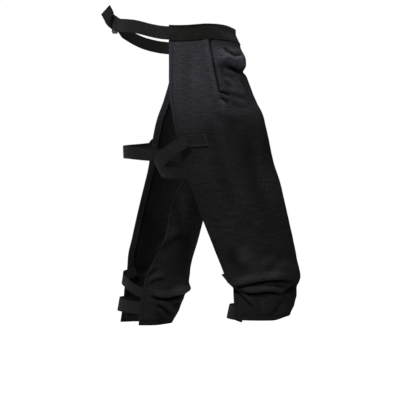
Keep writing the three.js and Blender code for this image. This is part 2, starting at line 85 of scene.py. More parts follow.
def travel(points):
    # how far along a line of points each of them lies
    return np.concatenate([[0], np.cumsum(np.linalg.norm(np.diff(points, axis=0), axis=1))])


def readAlong(values, travelled, at):
    # the values, one for each point of a line, read at distances along it
    return np.stack([np.interp(at, travelled, values[:, k]) for k in range(3)], -1)


def oval(turn, breadth, depth, squareness=2.2):
    # a rounded outline: out to the side and to the back, turn in degrees from the front
    s, c = np.sin(np.radians(turn)), np.cos(np.radians(turn))
    power = 2 / squareness
    return breadth * np.sign(s) * np.abs(s) ** power, -depth * np.sign(c) * np.abs(c) ** power


def shaderGroup(name, inputs, outputs):
    # a node group: inputs give each socket's kind and default, and outputs its kind
    group = bpy.data.node_groups.new(name, "ShaderNodeTree")
    for title, (kind, value) in inputs.items():
        socket = group.interface.new_socket(title, in_out="INPUT", socket_type="NodeSocket" + kind)
        if value is not None:
            socket.default_value = value
    for title, kind in outputs.items():
        group.interface.new_socket(title, in_out="OUTPUT", socket_type="NodeSocket" + kind)
    return group, group.nodes.new("NodeGroupInput").outputs, group.nodes.new("NodeGroupOutput").inputs


def addNode(tree, kind, links=None, **values):
    node = tree.nodes.new(kind)
    for key, value in values.items():
        if key in node.bl_rna.properties:
            setattr(node, key, value)
        else:
            node.inputs[key].default_value = value
    for key, source in (links or {}).items():
        tree.links.new(source, node.inputs[key])
    return node


def fillSocket(tree, socket, value):
    # links a node's output, or sets a number or a colour
    if hasattr(value, "is_linked"):
        tree.links.new(value, socket)
    else:
        socket.default_value = value


def mathNode(tree, operation, first, second=None, clamp=False):
    node = tree.nodes.new("ShaderNodeMath")
    node.operation, node.use_clamp = operation, clamp
    fillSocket(tree, node.inputs[0], first)
    if second is not None:
        fillSocket(tree, node.inputs[1], second)
    return node.outputs[0]


def plus(tree, first, second):
    return mathNode(tree, "ADD", first, second)


def minus(tree, first, second, clamp=False):
    return mathNode(tree, "SUBTRACT", first, second, clamp)


def times(tree, first, second, clamp=False):
    return mathNode(tree, "MULTIPLY", first, second, clamp)


def mixColours(tree, factor, first, second):
    node = addNode(tree, "ShaderNodeMix", data_type="RGBA")
    for index, value in ((0, factor), (6, first), (7, second)):
        fillSocket(tree, node.inputs[index], value)
    return node.outputs[2]


def scaleColour(tree, colour, amount):
    return addNode(tree, "ShaderNodeVectorMath", {0: colour, "Scale": amount}, operation="SCALE").outputs[0]


def noiseNode(tree, vector, scale, detail, roughness=0.5):
    node = addNode(tree, "ShaderNodeTexNoise", {"Vector": vector}, Scale=scale, Detail=detail,
                   Roughness=roughness)
    return node.outputs["Fac"]


def rangeNode(tree, value, fromMin, fromMax, toMin=0.0, toMax=1.0, shape="LINEAR"):
    node = addNode(tree, "ShaderNodeMapRange", {"Value": value}, interpolation_type=shape)
    ends = {"From Min": fromMin, "From Max": fromMax, "To Min": toMin, "To Max": toMax}
    for title, number in ends.items():
        node.inputs[title].default_value = number
    return node.outputs[0]


def bumpNormal(tree, shader, height, strength, distance):
    node = addNode(tree, "ShaderNodeBump", {"Height": height}, Strength=strength, Distance=distance)
    tree.links.new(node.outputs["Normal"], shader.inputs["Normal"])


def makeWeaveGroup():
    # plain weave: two sets of threads that pass over each other in turn, from a surface's own UV in metres
    group, source, result = shaderGroup(
        "woven threads",
        {"UV": ("Vector", None), "Across": ("Float", 1400.0), "Along": ("Float", 1400.0)},
        {"Height": "Float", "Gap": "Float"})
    split = addNode(group, "ShaderNodeSeparateXYZ", {"Vector": source["UV"]})
    x = times(group, split.outputs["X"], source["Across"])
    y = times(group, split.outputs["Y"], source["Along"])
    steps = plus(group, mathNode(group, "FLOOR", x), mathNode(group, "FLOOR", y))
    over = mathNode(group, "ABSOLUTE", mathNode(group, "MODULO", steps, 2))
    waves = [mathNode(group, "SINE", times(group, thread, math.pi)) for thread in (x, y)]
    humps = [mathNode(group, "ABSOLUTE", wave) for wave in waves]
    height = plus(group, times(group, humps[0], over), times(group, humps[1], minus(group, 1.0, over)))
    slub = times(group, noiseNode(group, source["UV"], 420.0, 3.0), 0.5)
    group.links.new(plus(group, height, slub), result["Height"])
    group.links.new(minus(group, 1.0, times(group, *humps), clamp=True), result["Gap"])
    return group


def makeLintGroup():
    # pale dust and lint, and a slow unevenness of the dye
    group, source, result = shaderGroup(
        "dust and lint",
        {"Coords": ("Vector", None), "Colour": ("Color", (0.02, 0.02, 0.02, 1)),
         "Dust": ("Color", (0.2, 0.19, 0.18, 1)), "Amount": ("Float", 0.1), "Unevenness": ("Float", 0.3)},
        {"Colour": "Color"})
    slow = noiseNode(group, source["Coords"], 14.0, 4.0)
    fine = noiseNode(group, source["Coords"], 260.0, 3.0)
    shade = plus(group, times(group, minus(group, slow, 0.5), source["Unevenness"]), 1.0)
    specks = times(group, rangeNode(group, fine, 0.58, 0.78), rangeNode(group, slow, 0.4, 0.75))
    mask = times(group, specks, source["Amount"], clamp=True)
    dusty = mixColours(group, mask, scaleColour(group, source["Colour"], shade), source["Dust"])
    group.links.new(dusty, result["Colour"])
    return group


def makeFoldShadeGroup():
    # painted light and shade: the cloth is painted lighter on its ridges, a painted highlight, and darker in
    # its creases, a painted shade, and its weft shows as fine level streaks
    group, source, result = shaderGroup(
        "fold shading and streaks",
        {"UV": ("Vector", None), "Fold": ("Float", 0.0), "Colour": ("Color", (0.02, 0.02, 0.02, 1)),
         "Crease": ("Float", 0.6), "Ridge": ("Float", 0.2), "Streaks": ("Float", 0.3)},
        {"Colour": "Color"})
    squashed = addNode(group, "ShaderNodeMapping", {"Vector": source["UV"]}, Scale=(38, 300, 1))
    streak = noiseNode(group, squashed.outputs[0], 1.0, 4.0, 0.7)
    speckle = times(group, minus(group, noiseNode(group, source["UV"], 300.0, 2.0), 0.5), 0.9)
    uneven = plus(group, minus(group, streak, 0.5), speckle)
    tone = plus(group, times(group, uneven, source["Streaks"]), 1.0)
    ridge = times(group, mathNode(group, "MAXIMUM", source["Fold"], 0.0), source["Ridge"])
    creaseShade = times(group, mathNode(group, "MINIMUM", source["Fold"], 0.0), source["Crease"])
    shade = mathNode(group, "MAXIMUM", plus(group, plus(group, ridge, creaseShade), 1.0), 0.1)
    group.links.new(scaleColour(group, source["Colour"], times(group, tone, shade)), result["Colour"])
    return group


weaveGroup, lintGroup, foldShadeGroup = makeWeaveGroup(), makeLintGroup(), makeFoldShadeGroup()


def startMaterial(name, roughness, specular, sheen=0.0, sheenTint=(1, 1, 1, 1)):
    material = bpy.data.materials.new(name)
    material.use_nodes = True
    shader = material.node_tree.nodes["Principled BSDF"]
    values = {"Roughness": roughness, "Specular IOR Level": specular, "Sheen Weight": sheen,
              "Sheen Roughness": 0.45, "Sheen Tint": sheenTint}
    for title, value in values.items():
        shader.inputs[title].default_value = value
    return material, material.node_tree, shader


def shaded(colour, *amounts):
    # a colour times one amount, or times an amount for each channel
    return tuple(c * a for c, a in zip(colour, amounts * (3 // len(amounts)))) + (1,)


def wovenCloth(name, look):
    material, tree, shader = startMaterial(name, look["roughness"], look["specular"], look["sheen"],
                                           look["sheenTint"])
    uv = addNode(tree, "ShaderNodeUVMap", uv_map="cloth").outputs["UV"]
    place = addNode(tree, "ShaderNodeTexCoord").outputs["Object"]
    across, along = look["threads"]
    weave = addNode(tree, "ShaderNodeGroup", {"UV": uv}, node_tree=weaveGroup, Across=across, Along=along)
    # painted light and shade: the cloth keeps its lighter, bluer colour high up, painted light where it is
    # lit from above, and lower down the leg the colour is multiplied by lowerShade, a painted shade, sooner
    # at the front than at the back
    level = addNode(tree, "ShaderNodeVectorMath", {0: place}, operation="DOT_PRODUCT")
    level.inputs[1].default_value = (0, 0.45, 1)
    lowness = rangeNode(tree, level.outputs["Value"], -0.10, -0.27, shape="SMOOTHSTEP")
    colour = mixColours(tree, lowness, shaded(look["colour"], 1), shaded(look["colour"], *look["lowerShade"]))
    lint = addNode(tree, "ShaderNodeGroup", {"Coords": place, "Colour": colour}, node_tree=lintGroup,
                   Dust=shaded(look["dustColour"], 1), Amount=look["dust"], Unevenness=look["unevenness"])
    # painted shade in the creases and painted highlight on the ridges, read from each place's fold value
    fold = addNode(tree, "ShaderNodeAttribute", attribute_name="fold").outputs["Fac"]
    fade = addNode(tree, "ShaderNodeGroup", {"UV": uv, "Fold": fold, "Colour": lint.outputs["Colour"]},
                   node_tree=foldShadeGroup, Crease=look["creaseShade"], Ridge=look["ridge"], Streaks=look["streaks"])
    gaps = times(tree, weave.outputs["Gap"], look["gapShade"])
    cloth = mixColours(tree, gaps, fade.outputs["Colour"], shaded(look["colour"], 0.35))
    tree.links.new(cloth, shader.inputs["Base Color"])
    bumpNormal(tree, shader, weave.outputs["Height"], look["relief"], 0.3 * mm)
    return material


# threads is how many there are to a metre, across and along; crease and ridge are how much darker (painted
# shade) or lighter (painted highlight) a place is for each millimetre that it is folded
clothLook = {
    "roughness": 0.84, "sheen": 0.02, "sheenTint": (0.75, 0.76, 0.85, 1), "specular": 0.05,
    "dust": 0.06, "dustColour": (0.030, 0.029, 0.028), "unevenness": 0.7, "gapShade": 0.3, "relief": 0.55,
    "lowerShade": (1, 1, 1), "creaseShade": 0.30, "ridge": 0.28, "streaks": 1.9,
}
finishes = {
    # shellCloth's lowerShade paints shade on the lower leg and leaves the upper cloth lighter and bluer,
    # painted light
    "shellCloth": {"colour": (0.0218, 0.0208, 0.0250), "threads": (1350, 1350), "sheen": 0.0,
                   "specular": 0.02, "dust": 0.03, "lowerShade": (0.36, 0.378, 0.312)},
    "waistCloth": {"colour": (0.0082, 0.0080, 0.0070), "threads": (1600, 1600), "sheen": 0.03},
    "liningCloth": {"colour": (0.0030, 0.0030, 0.0033), "threads": (2600, 2600), "sheen": 0.0,
                    "roughness": 0.6, "relief": 0.3},
    "padFibre": {"colour": (0.62, 0.60, 0.55), "threads": (500, 180), "sheen": 0.4,
                 "roughness": 0.95, "relief": 0.9, "dust": 0.0},
    "strapWebbing": {"colour": (0.0102, 0.0090, 0.0095), "threads": (850, 620), "sheen": 0.03,
                     "roughness": 0.7, "relief": 0.9, "gapShade": 0.6},
    "hookTape": {"colour": (0.0035, 0.0035, 0.0037), "threads": (1500, 1500),
                 "roughness": 0.9, "relief": 1.0, "gapShade": 0.7},
    "loopTape": {"colour": (0.0068, 0.0066, 0.0060), "threads": (900, 1100), "sheen": 0.12,
                 "roughness": 1.0, "relief": 1.0},
}
cloths = {name: wovenCloth(name, {**clothLook, **own}) for name, own in finishes.items()}


def makeThread(name, colour):
    # sewing thread: the twist shows as slanting stripes
    material, tree, shader = startMaterial(name, 0.7, 0.1)
    place = addNode(tree, "ShaderNodeTexCoord").outputs["Object"]
    twist = addNode(tree, "ShaderNodeTexWave", {"Vector": place}, bands_direction="DIAGONAL", Scale=1400.0,
                    Distortion=1.5).outputs["Fac"]
    striped = mixColours(tree, twist, shaded(colour, 0.55), shaded(colour, 1))
    tree.links.new(striped, shader.inputs["Base Color"])
    bumpNormal(tree, shader, twist, 0.5, 0.1 * mm)
    return material


def makeNylon(name, colour):
    # moulded nylon: glossy, with a faint orange peel and fine rubbed marks
    material, tree, shader = startMaterial(name, 0.2, 0.3)
    place = addNode(tree, "ShaderNodeTexCoord").outputs["Object"]
    peel, rubs = noiseNode(tree, place, 900.0, 2.0), noiseNode(tree, place, 120.0, 6.0)
    tree.links.new(rangeNode(tree, rubs, 0.35, 0.75, 0.26, 0.5), shader.inputs["Roughness"])
    worn = mixColours(tree, times(tree, rubs, 0.35), shaded(colour, 1), shaded(colour, 2.4))
    tree.links.new(worn, shader.inputs["Base Color"])
    bumpNormal(tree, shader, peel, 0.12, 0.2 * mm)
    return material


blackThread = makeThread("blackThread", (0.011, 0.011, 0.012))
# painted shade: a darker copy of blackThread for the stitching of the left leg, away from the camera
shadedThread = makeThread("shadedThread", (0.0022, 0.0022, 0.0023))
greyThread = makeThread("greyThread", (0.020, 0.019, 0.019))
paleThread = makeThread("paleThread", (0.060, 0.058, 0.055))
buckleNylon = makeNylon("buckleNylon", (0.0075, 0.0075, 0.008))
print("materials made:", len(bpy.data.materials))


def clothGrid(columns, rows, place, size, skip=None):
    # a sheet of faces whose corner (i, j) goes to place(i, j), which may also give a fold value that the
    # colour takes its painted shade and highlight from; size is its width and length, for a UV in metres
    bm = bmesh.new()
    uv = bm.loops.layers.uv.new("cloth")
    bmesh.ops.create_grid(bm, x_segments=columns, y_segments=rows, size=1, calc_uvs=True)
    if skip is not None:
        middles = np.array([face.calc_center_median()[:2] for face in bm.faces]) / 2 + 0.5
        unwanted = skip((middles[:, 0] * columns).astype(int), (middles[:, 1] * rows).astype(int))
        bmesh.ops.delete(bm, geom=[face for face, cut in zip(bm.faces, unwanted) if cut], context="FACES")
    corners = np.array([vert.co[:2] for vert in bm.verts]) / 2 + 0.5
    placed = place(np.rint(corners[:, 0] * columns).astype(int), np.rint(corners[:, 1] * rows).astype(int))
    points, folded = placed if isinstance(placed, tuple) else (placed, None)
    for vert, point in zip(bm.verts, points):
        vert.co = point
    if folded is not None:
        layer = bm.verts.layers.float.new("fold")
        for vert, value in zip(bm.verts, folded):
            vert[layer] = value
    for face in bm.faces:
        for loop in face.loops:
            loop[uv].uv = (loop[uv].uv.x * size[0], loop[uv].uv.y * size[1])
    return bm


def makePiece(name, bm, material):
    bm.normal_update()
    mesh = bpy.data.meshes.new(name)
    bm.to_mesh(mesh)
    bm.free()
    mesh.polygons.foreach_set("use_smooth", [True] * len(mesh.polygons))
    mesh.materials.append(material)
    piece = bpy.data.objects.new(name, mesh)
    scene.collection.objects.link(piece)
    return piece


def thicken(piece, thickness, edge=0.0):
    solid = piece.modifiers.new("thickness", "SOLIDIFY")
    solid.thickness, solid.offset, solid.use_even_offset = thickness, 0, False
    if edge:
        rounding = piece.modifiers.new("rounded edges", "BEVEL")
        rounding.width, rounding.segments, rounding.limit_method = edge, 2, "ANGLE"
        rounding.angle_limit = math.radians(55)


def joinInto(bm, other):
    # adds another bmesh's faces and frees it
    mesh = bpy.data.meshes.new("joined")
    other.to_mesh(mesh)
    other.free()
    bm.from_mesh(mesh)
    bpy.data.meshes.remove(mesh)


def stitchLine(bm, points, normals, thread):
    # separate stitches along a line: small capsules, a little sunk into the cloth
    travelled = travel(points)
    count = max(1, int(travelled[-1] / thread["pitch"]))
    middles = (np.arange(count) + 0.5) * travelled[-1] / count
    half = thread["length"] / 2
    alongs = readAlong(points, travelled, middles + half) - readAlong(points, travelled, middles - half)
    centres, outs = readAlong(points, travelled, middles), readAlong(normals, travelled, middles)
    size = Matrix.Diagonal((half * 1.05, thread["radius"], thread["radius"] * 0.75, 1))
    shape = size @ Matrix.Rotation(math.pi / 2, 4, "Y")
    batch = 24  # stitches made at a time, as the operator is slow in a big mesh
    few = bmesh.new()
    for k, (centre, along, out) in enumerate(zip(centres, alongs, outs)):
        along, out = Vector(along).normalized(), Vector(out)
        out = (out - along * out.dot(along)).normalized()
        turn = Matrix((along, out.cross(along), out)).transposed().to_4x4()
        place = Matrix.Translation(Vector(centre) + out * thread["lift"]) @ turn @ shape
        bmesh.ops.create_uvsphere(few, u_segments=6, v_segments=4, radius=1, matrix=place)
        if k % batch == batch - 1:
            joinInto(bm, few)
            few = bmesh.new()
    joinInto(bm, few)


# the waist loop, which the band and the belt follow
waist = {
    "halfBreadth": 154 * mm, "halfDepth": 116.5 * mm, "back": -3.5 * mm, "frontLean": 14 * mm,
    "heights": [h * mm for h in (-9, -10, -12, -17, -10, 5, 16)],  # every 30 degrees from the front
    "casingHeight": 28 * mm, "casingEnd": 96, "webbing": 25 * mm, "webbingThickness": 1.6 * mm,
    "webbingLift": 1.3 * mm, "faceLift": 3.2 * mm, "cloth": 1 * mm,
}


def waistHeight(turn):
    away = np.abs(np.asarray(turn, float)) % 360
    return spline(np.array(waist["heights"])[:, None], np.minimum(away, 360 - away) / 30)[..., 0]


def waistPoint(turn, lift, rise):
    turn, lift, rise = np.broadcast_arrays(np.asarray(turn, float), lift, rise)
    x, y = oval(turn, waist["halfBreadth"], waist["halfDepth"])
    ahead = np.stack(oval(turn + 0.5, waist["halfBreadth"], waist["halfDepth"]), -1)
    behind = np.stack(oval(turn - 0.5, waist["halfBreadth"], waist["halfDepth"]), -1)
    along = unit(ahead - behind)
    front = np.maximum(0, np.cos(np.radians(turn))) ** 1.5
    lean = waist["frontLean"] * (rise / waist["casingHeight"] + 0.5) * front
    return np.stack([-(x + along[..., 1] * lift), y - along[..., 0] * lift + lean + waist["back"],
                     waistHeight(turn) + rise], -1)


def waistNormal(turn):
    return unit(waistPoint(turn, 1 * mm, 0) - waistPoint(turn, 0, 0))


# station by station from the waistband to the hem: how far round from the front the outer and the inner
# edge lie
panelCut = [
    (96, 5), (98, 4), (105, -5), (113, -22), (117, -45), (120, -64), (127, -80), (140, -84), (148, -92),
    (149, -104), (148, -106), (146, -104), (140, -96),
]
# level sections in millimetres: height, out to the side, back, half breadth, half depth; for each strap, the
# station that it runs at, at nine places from its free end, and how far it is drawn in behind the leg; and
# how much higher the hem is at the front
legs = {
    "right": {
        "side": -1,
        "hemRise": 7 * mm,
        "sections": [
            (-33, 0, -3.5, 155.5, 118), (-75, 14, -9, 153, 120), (-122, 45, -25, 130, 120),
            (-165, 70, -44, 108, 115), (-212, 91, -59, 86, 112), (-254, 95, -72, 82, 108),
            (-316, 100, -97, 77, 99), (-394, 106, -132, 67, 82), (-430, 108, -148, 62, 73),
            (-466, 110, -159, 59, 68), (-492, 110, -164, 55, 59), (-520, 110, -163, 53, 56),
            (-549, 110, -158, 53, 56),
        ],
        "thigh": [4.1, 4.2, 4.35, 5.14, 5.35, 5.35, 5.25, 5.2, 5.2],
        "knee": [9.05, 9.15, 9.25, 9.4, 9.6, 9.8, 9.95, 10.05, 10.1],
        "calf": [11.72, 11.64, 11.56] + [11.5] * 6,
        "tucks": {"thigh": 0, "knee": 11 * mm, "calf": 0},
    },
    "left": {
        "side": 1,
        "hemRise": 2 * mm,
        "sections": [
            (-33, 0, -3.5, 155.5, 118), (-75, 14, -4, 153, 114), (-122, 45, -4, 130, 110),
            (-167, 70, 0, 108, 103), (-216, 91, 6, 86, 97), (-262, 95, 12, 80, 90), (-322, 98, 22, 75, 81),
            (-400, 102, 32, 67, 70), (-436, 103, 37, 63, 64), (-474, 104, 42, 59, 61),
            (-504, 105, 48, 56, 61), (-538, 105, 56, 54, 58), (-574, 105, 68, 53, 56),
        ],
        "thigh": [3.8, 3.9, 4.1, 4.25, 4.36, 4.5, 4.62, 4.72, 4.75],
        "knee": [8.9, 9, 9.1, 9.25, 9.5, 9.85, 10.1, 10.2, 10.25],
        "calf": [10.85, 10.85, 10.88, 10.92, 10.95, 11, 11.05, 11.08, 11.1],
        "tucks": {"thigh": 0, "knee": 0, "calf": 0},
    },
}
panel = {
    "lastStation": 12, "flapTurn": 115, "belowBand": 0.8 * mm, "gap": 0.3 * mm, "lining": 0.8 * mm,
    "shell": 1.2 * mm, "padLoft": 3.3 * mm, "padTop": 3.4, "padRamp": 0.12,
}


def makeFold(depth, width, ridge, off, *line, hang=0.0, blunt=False):
    # a fold in millimetres: its valley's depth and half width, the height of the ridge beside it and how far
    # that is to the left of the line, seen from the wearer's right, and the line itself in (y, z); hang is
    # how far it droops over the crease below, and a blunt fold starts at its full depth
    return {"line": np.array(line) * mm, "depth": depth * mm, "width": width * mm, "ridge": ridge * mm,
            "off": off * mm, "hang": hang * mm, "blunt": blunt}


folds = {
    "right": [
        makeFold(3.4, 2.2, 1, -7, (-64, -29), (-71.5, -75), (-81.5, -122.5), (-85.3, -129), blunt=True),
        makeFold(4, 2.8, 2, -6.5, (-83.5, -126.5), (-93, -129), (-102, -134)),
        makeFold(3.4, 3, 2, -8, (-83.5, -137), (-90, -140.5), (-101, -149)),
        makeFold(1.5, 4, 2, 9, (-94, -124.5), (-116, -134.7), (-131.5, -139)),
        makeFold(1.6, 4.5, 1.6, 9, (-104, -145), (-118, -153), (-133, -156)),
        makeFold(4.8, 3.2, 1.6, -9, (-87, -39), (-95, -49), (-105, -54.5), (-115, -51), (-126, -44)),
        makeFold(2.3, 3.4, 2, 10, (-83, -70.5), (-92.5, -70.5), (-103.4, -75), (-116, -81), (-129, -84)),
        makeFold(2.2, 2.6, 1, 6, (-106, -77), (-116, -83), (-127, -86)),
        makeFold(1.6, 4.2, 1.4, 8, (-84.8, -82.5), (-92.5, -93.4), (-111.2, -98)),
        makeFold(1.5, 3.6, 1.4, 7, (-87, -103), (-101, -114), (-111, -122)),
        makeFold(1.6, 4.5, 1, -8, (-120, -99), (-129, -109), (-136, -125)),
        makeFold(1.2, 9, 0.9, 14, (-70, -165), (-100, -180), (-140, -180)),
        makeFold(0.6, 9, 0.4, 14, (-30, -40), (-22, -90), (-26, -150)),
        makeFold(0.9, 12, 0.8, 18, (-60, -170), (-80, -260), (-115, -350)),
        makeFold(1, 13, 0.8, 19, (-125, -190), (-145, -290), (-185, -390)),
        makeFold(6.2, 3.4, 3.6, 9, (-106, -488), (-127, -481.5), (-148, -477), (-178.8, -473),
                 (-225.9, -476.5), hang=4.5),
        makeFold(5.6, 3.2, 3.4, 7, (-122, -496), (-149.2, -497), (-177.5, -494.5), (-196, -502.5), hang=3),
        makeFold(5.2, 3.2, 1.4, 8, (-96, -482), (-108, -492), (-123, -501)),
        makeFold(2.6, 3, 1.6, 7, (-120, -499), (-133, -513), (-149, -526)),
        makeFold(1.6, 2.6, 1.2, 5, (-162, -484.5), (-185, -483.5), (-212, -486.5)),
        makeFold(2.2, 3.4, 1.8, 8, (-196, -502), (-208, -493), (-220, -486)),
        makeFold(1.7, 12, 2.2, 20, (-105, -410), (-113, -442), (-142, -464)),
        makeFold(1.3, 7, 1.6, 14, (-200, -428), (-180, -446), (-164, -462)),
        makeFold(1, 9, 1.3, -16, (-150, -430), (-175, -424), (-205, -426)),
        makeFold(1.4, 4.5, 1.2, 9, (-195, -508), (-188, -526), (-176, -542)),
        makeFold(1, 4.5, 1, 8, (-156, -506), (-154, -522), (-158, -542)),
    ],
    "left": [
        makeFold(6, 3.8, 3.4, 10, (54.5, -516), (31, -520.5), (12, -519), (-5.5, -512), (-20, -502), hang=3),
        makeFold(2, 4.5, 1.8, 9, (56.5, -494.2), (38.6, -484.4), (20, -482)),
        makeFold(1.8, 8, 1.4, 13, (36.4, -431.4), (10, -408), (-16.3, -395.2)),
        makeFold(2, 4.5, 1.6, 9, (62, -484), (48.6, -470.5), (34.7, -456.7)),
        makeFold(1.2, 12, 1, 16, (10, -300), (-8, -380), (-20, -440)),
        makeFold(3, 4, 2, 8, (42, -530), (25, -543), (8, -556)),
        makeFold(2.2, 4, 1.6, 7, (10, -533), (-4, -529), (-16, -521)),
        makeFold(1.2, 4, 1, 7, (45, -545), (33, -556), (30, -568)),
    ],
}
# rolls that go round the front of the panel: height, reach and half width in millimetres
frontRolls = {
    "right": [
        (-47, 4.2, 10), (-59, 5.6, 10), (-70, 3, 7), (-79, -4.2, 6), (-163, 2.6, 20), (-232, -0.8, 24),
        (-300, 1.8, 26), (-462, 1.6, 15), (-486, -2.6, 8),
    ],
    "left": [
        (-60, 3, 14), (-90, -2.5, 12), (-170, 2.2, 22), (-260, -1.6, 26), (-484, 3, 15), (-502, 9, 8.5),
        (-522, 1, 8),
    ],
}


def foldDistances(fold, y, z):
    # how far each place is from a fold's line, how far to its left, and how strongly the fold shows there
    line = spline(fold["line"], np.linspace(0, len(fold["line"]) - 1, 14))
    nearest, signed, share = np.full(y.shape, 1e9), np.zeros(y.shape), np.zeros(y.shape)
    for k in range(len(line) - 1):
        (ay, az), (by, bz) = line[k], line[k + 1]
        dy, dz = by - ay, bz - az
        t = np.clip(((y - ay) * dy + (z - az) * dz) / (dy * dy + dz * dz), 0, 1)
        ry, rz = y - ay - t * dy, z - az - t * dz
        distance = np.hypot(ry, rz)
        closer = distance < nearest
        nearest = np.where(closer, distance, nearest)
        signed = np.where(closer, distance * np.sign(dz * ry - dy * rz), signed)
        share = np.where(closer, (k + t) / (len(line) - 1), share)
    if fold["blunt"]:
        fade = ease(share, -0.3, 0.1) * ease(1 - share, -0.02, 0.1)
    else:
        fade = ease(share, -0.02, 0.2) * ease(1 - share, -0.02, 0.3)
    return nearest, signed, fade


def foldReach(name, normals):
    # the right leg's folds are on its outer side, and the left leg's go round both sides
    outward = normals[..., 0] * legs[name]["side"]
    return ease(np.abs(outward) if name == "left" else outward, 0.05, 0.4)


def foldRelief(name, points, normals):
    # how far the folds push the cloth out at these points of the undisturbed surface, in metres
    y, z = points[..., 1], points[..., 2]
    relief, reach = np.zeros(y.shape), foldReach(name, normals)
    for fold in folds[name]:
        nearest, signed, fade = foldDistances(fold, y, z)
        valley = fold["depth"] * bump(nearest, 0, fold["width"])
        ridge = fold["ridge"] * bump(signed, fold["off"], abs(fold["off"]) * 0.6)
        relief += (ridge - valley) * fade * reach
    frontness = ease(-normals[..., 1], 0.4, 0.95)
    for height, out, width in frontRolls[name]:
        relief += out * mm * bump(z, height * mm, width * mm) * frontness
    return relief


def hang(name, points, normals):
    # some folds droop over the crease below them, and the hem is cut higher at the front
    y, z = points[..., 1], points[..., 2]
    drop, reach = np.zeros(y.shape), foldReach(name, normals)
    for fold in folds[name]:
        if fold["hang"]:
            nearest, signed, fade = foldDistances(fold, y, z)
            off = fold["off"]
            drop += fold["hang"] * bump(signed, off * 0.6, abs(off) * 0.55) * fade * reach
    hemHeight = legs[name]["sections"][-1][0] * mm
    nearHem = ease(-z, -hemHeight - 0.05, -hemHeight)
    rise = legs[name]["hemRise"] * ease(-normals[..., 1], 0.3, 1.0) * nearHem
    return np.stack([np.zeros(y.shape), np.zeros(y.shape), rise - drop], -1)


# how often the cloth rumples to a metre, in x, y and z, and how high
rumples = [((16, 16, 5), 1.5 * mm), ((38, 38, 17), 0.6 * mm), ((70, 70, 60), 0.35 * mm)]
kneeRumple = {"often": (22, 22, 55), "height": 2 * mm, "middle": -0.49, "reach": 0.06}


def undulation(name, points):
    # slow hanging waves and finer rumpling, more of it about the knee
    shift = 3.1 if name == "left" else 0.0
    flat = points.reshape(-1, 3)

    def wave(often, height, axis):
        return np.array([noise.noise(place) for place in (flat * often + np.eye(3)[axis] * shift)]) * height

    waves = sum(wave(often, height, axis) for axis, (often, height) in enumerate(rumples))
    knee = bump(flat[:, 2], kneeRumple["middle"], kneeRumple["reach"])
    waves = waves + wave(kneeRumple["often"], kneeRumple["height"], 1) * knee
    return (waves * ease(-flat[:, 2], 0.035, 0.09)).reshape(points.shape[:-1])


def legSurface(name):
    leg = legs[name]
    sections = np.array(leg["sections"], float) * mm
    cut = np.array(panelCut, float)

    def bare(turn, station, flap=1.0):
        values = [np.asarray(value, float) for value in (turn, station, flap)]
        turn, station, flap = np.broadcast_arrays(*values)
        row = spline(sections, station)
        breadth, depth = row[..., 3], row[..., 4]
        x, y = oval(turn, breadth, depth)
        startX, startY = oval(panel["flapTurn"], breadth, depth)
        nextX, nextY = oval(panel["flapTurn"] + 1, breadth, depth)
        lastX, lastY = oval(panel["flapTurn"] - 1, breadth, depth)
        along = unit(np.stack([nextX - lastX, nextY - lastY], -1))
        run = np.radians(turn - panel["flapTurn"]) * (breadth + depth) / 2
        share = np.where(turn > panel["flapTurn"], flap, 0)
        x = x + (startX + along[..., 0] * run - x) * share
        y = y + (startY + along[..., 1] * run - y) * share
        atBand = waistHeight(turn) - waist["casingHeight"] / 2 - panel["belowBand"]
        z = row[..., 0] + (atBand - sections[0, 0]) * np.maximum(0, 1 - station)
        return np.stack([leg["side"] * (row[..., 1] + x), row[..., 2] + y, z], -1)

    def normal(turn, station, flap=1.0):
        around = bare(np.asarray(turn) + 0.5, station, flap) - bare(np.asarray(turn) - 0.5, station, flap)
        s = np.clip(station, 0.05, panel["lastStation"] - 0.05)
        down = bare(turn, s + 0.05, flap) - bare(turn, s - 0.05, flap)
        return unit(np.cross(down, around)) * leg["side"]

    def turnAt(u, station):
        edges = spline(cut, station)
        return edges[..., 0] + (edges[..., 1] - edges[..., 0]) * u

    def fullness(turn, station):
        edges = spline(cut, station)
        u = np.clip((edges[..., 0] - turn) / (edges[..., 0] - edges[..., 1]), 0, 1)
        fromSide = np.minimum(u, 1 - u) / panel["padRamp"]
        fromEnd = np.minimum((station - panel["padTop"] + 1) / 1.2, (panel["lastStation"] - station) / 0.8)
        return ease(np.minimum(fromSide, fromEnd))

    def shellInside(turn, station):
        return panel["lining"] + panel["gap"] + 0.1 * mm + panel["padLoft"] * fullness(turn, station)

    def lifted(turn, station, lift, flap=1.0):
        turn, station, lift, flap = np.broadcast_arrays(turn, station, lift, flap)
        points, normals = bare(turn, station, flap), normal(turn, station, flap)
        lift = lift + foldRelief(name, points, normals) + undulation(name, points)
        return points + normals * lift[..., None] + hang(name, points, normals)

    def folded(turn, station):
        # how deep in a crease a place is, in millimetres, below zero, or how high on a ridge
        return foldRelief(name, bare(turn, station), normal(turn, station)) / mm

    def perDegree(turn, station):
        return np.linalg.norm(bare(turn + 0.5, station) - bare(turn - 0.5, station), axis=-1)

    def turnInside(edge, inset, station):
        # the turn that lies a distance inside the outer (0) or inner (1) edge
        at = turnAt(edge, station)
        return at + inset / perDegree(at, station) * (1 if edge else -1)

    last = panel["lastStation"]
    perStation = float(np.linalg.norm(bare(20.0, last) - bare(20.0, last - 0.5)) / 0.5)

    def stationAbove(inset):
        return last - inset / perStation

    return {"name": name, "leg": leg, "bare": bare, "folded": folded, "normal": normal, "turnAt": turnAt,
            "shellInside": shellInside, "lifted": lifted, "turnInside": turnInside,
            "stationAbove": stationAbove, "perStation": perStation}


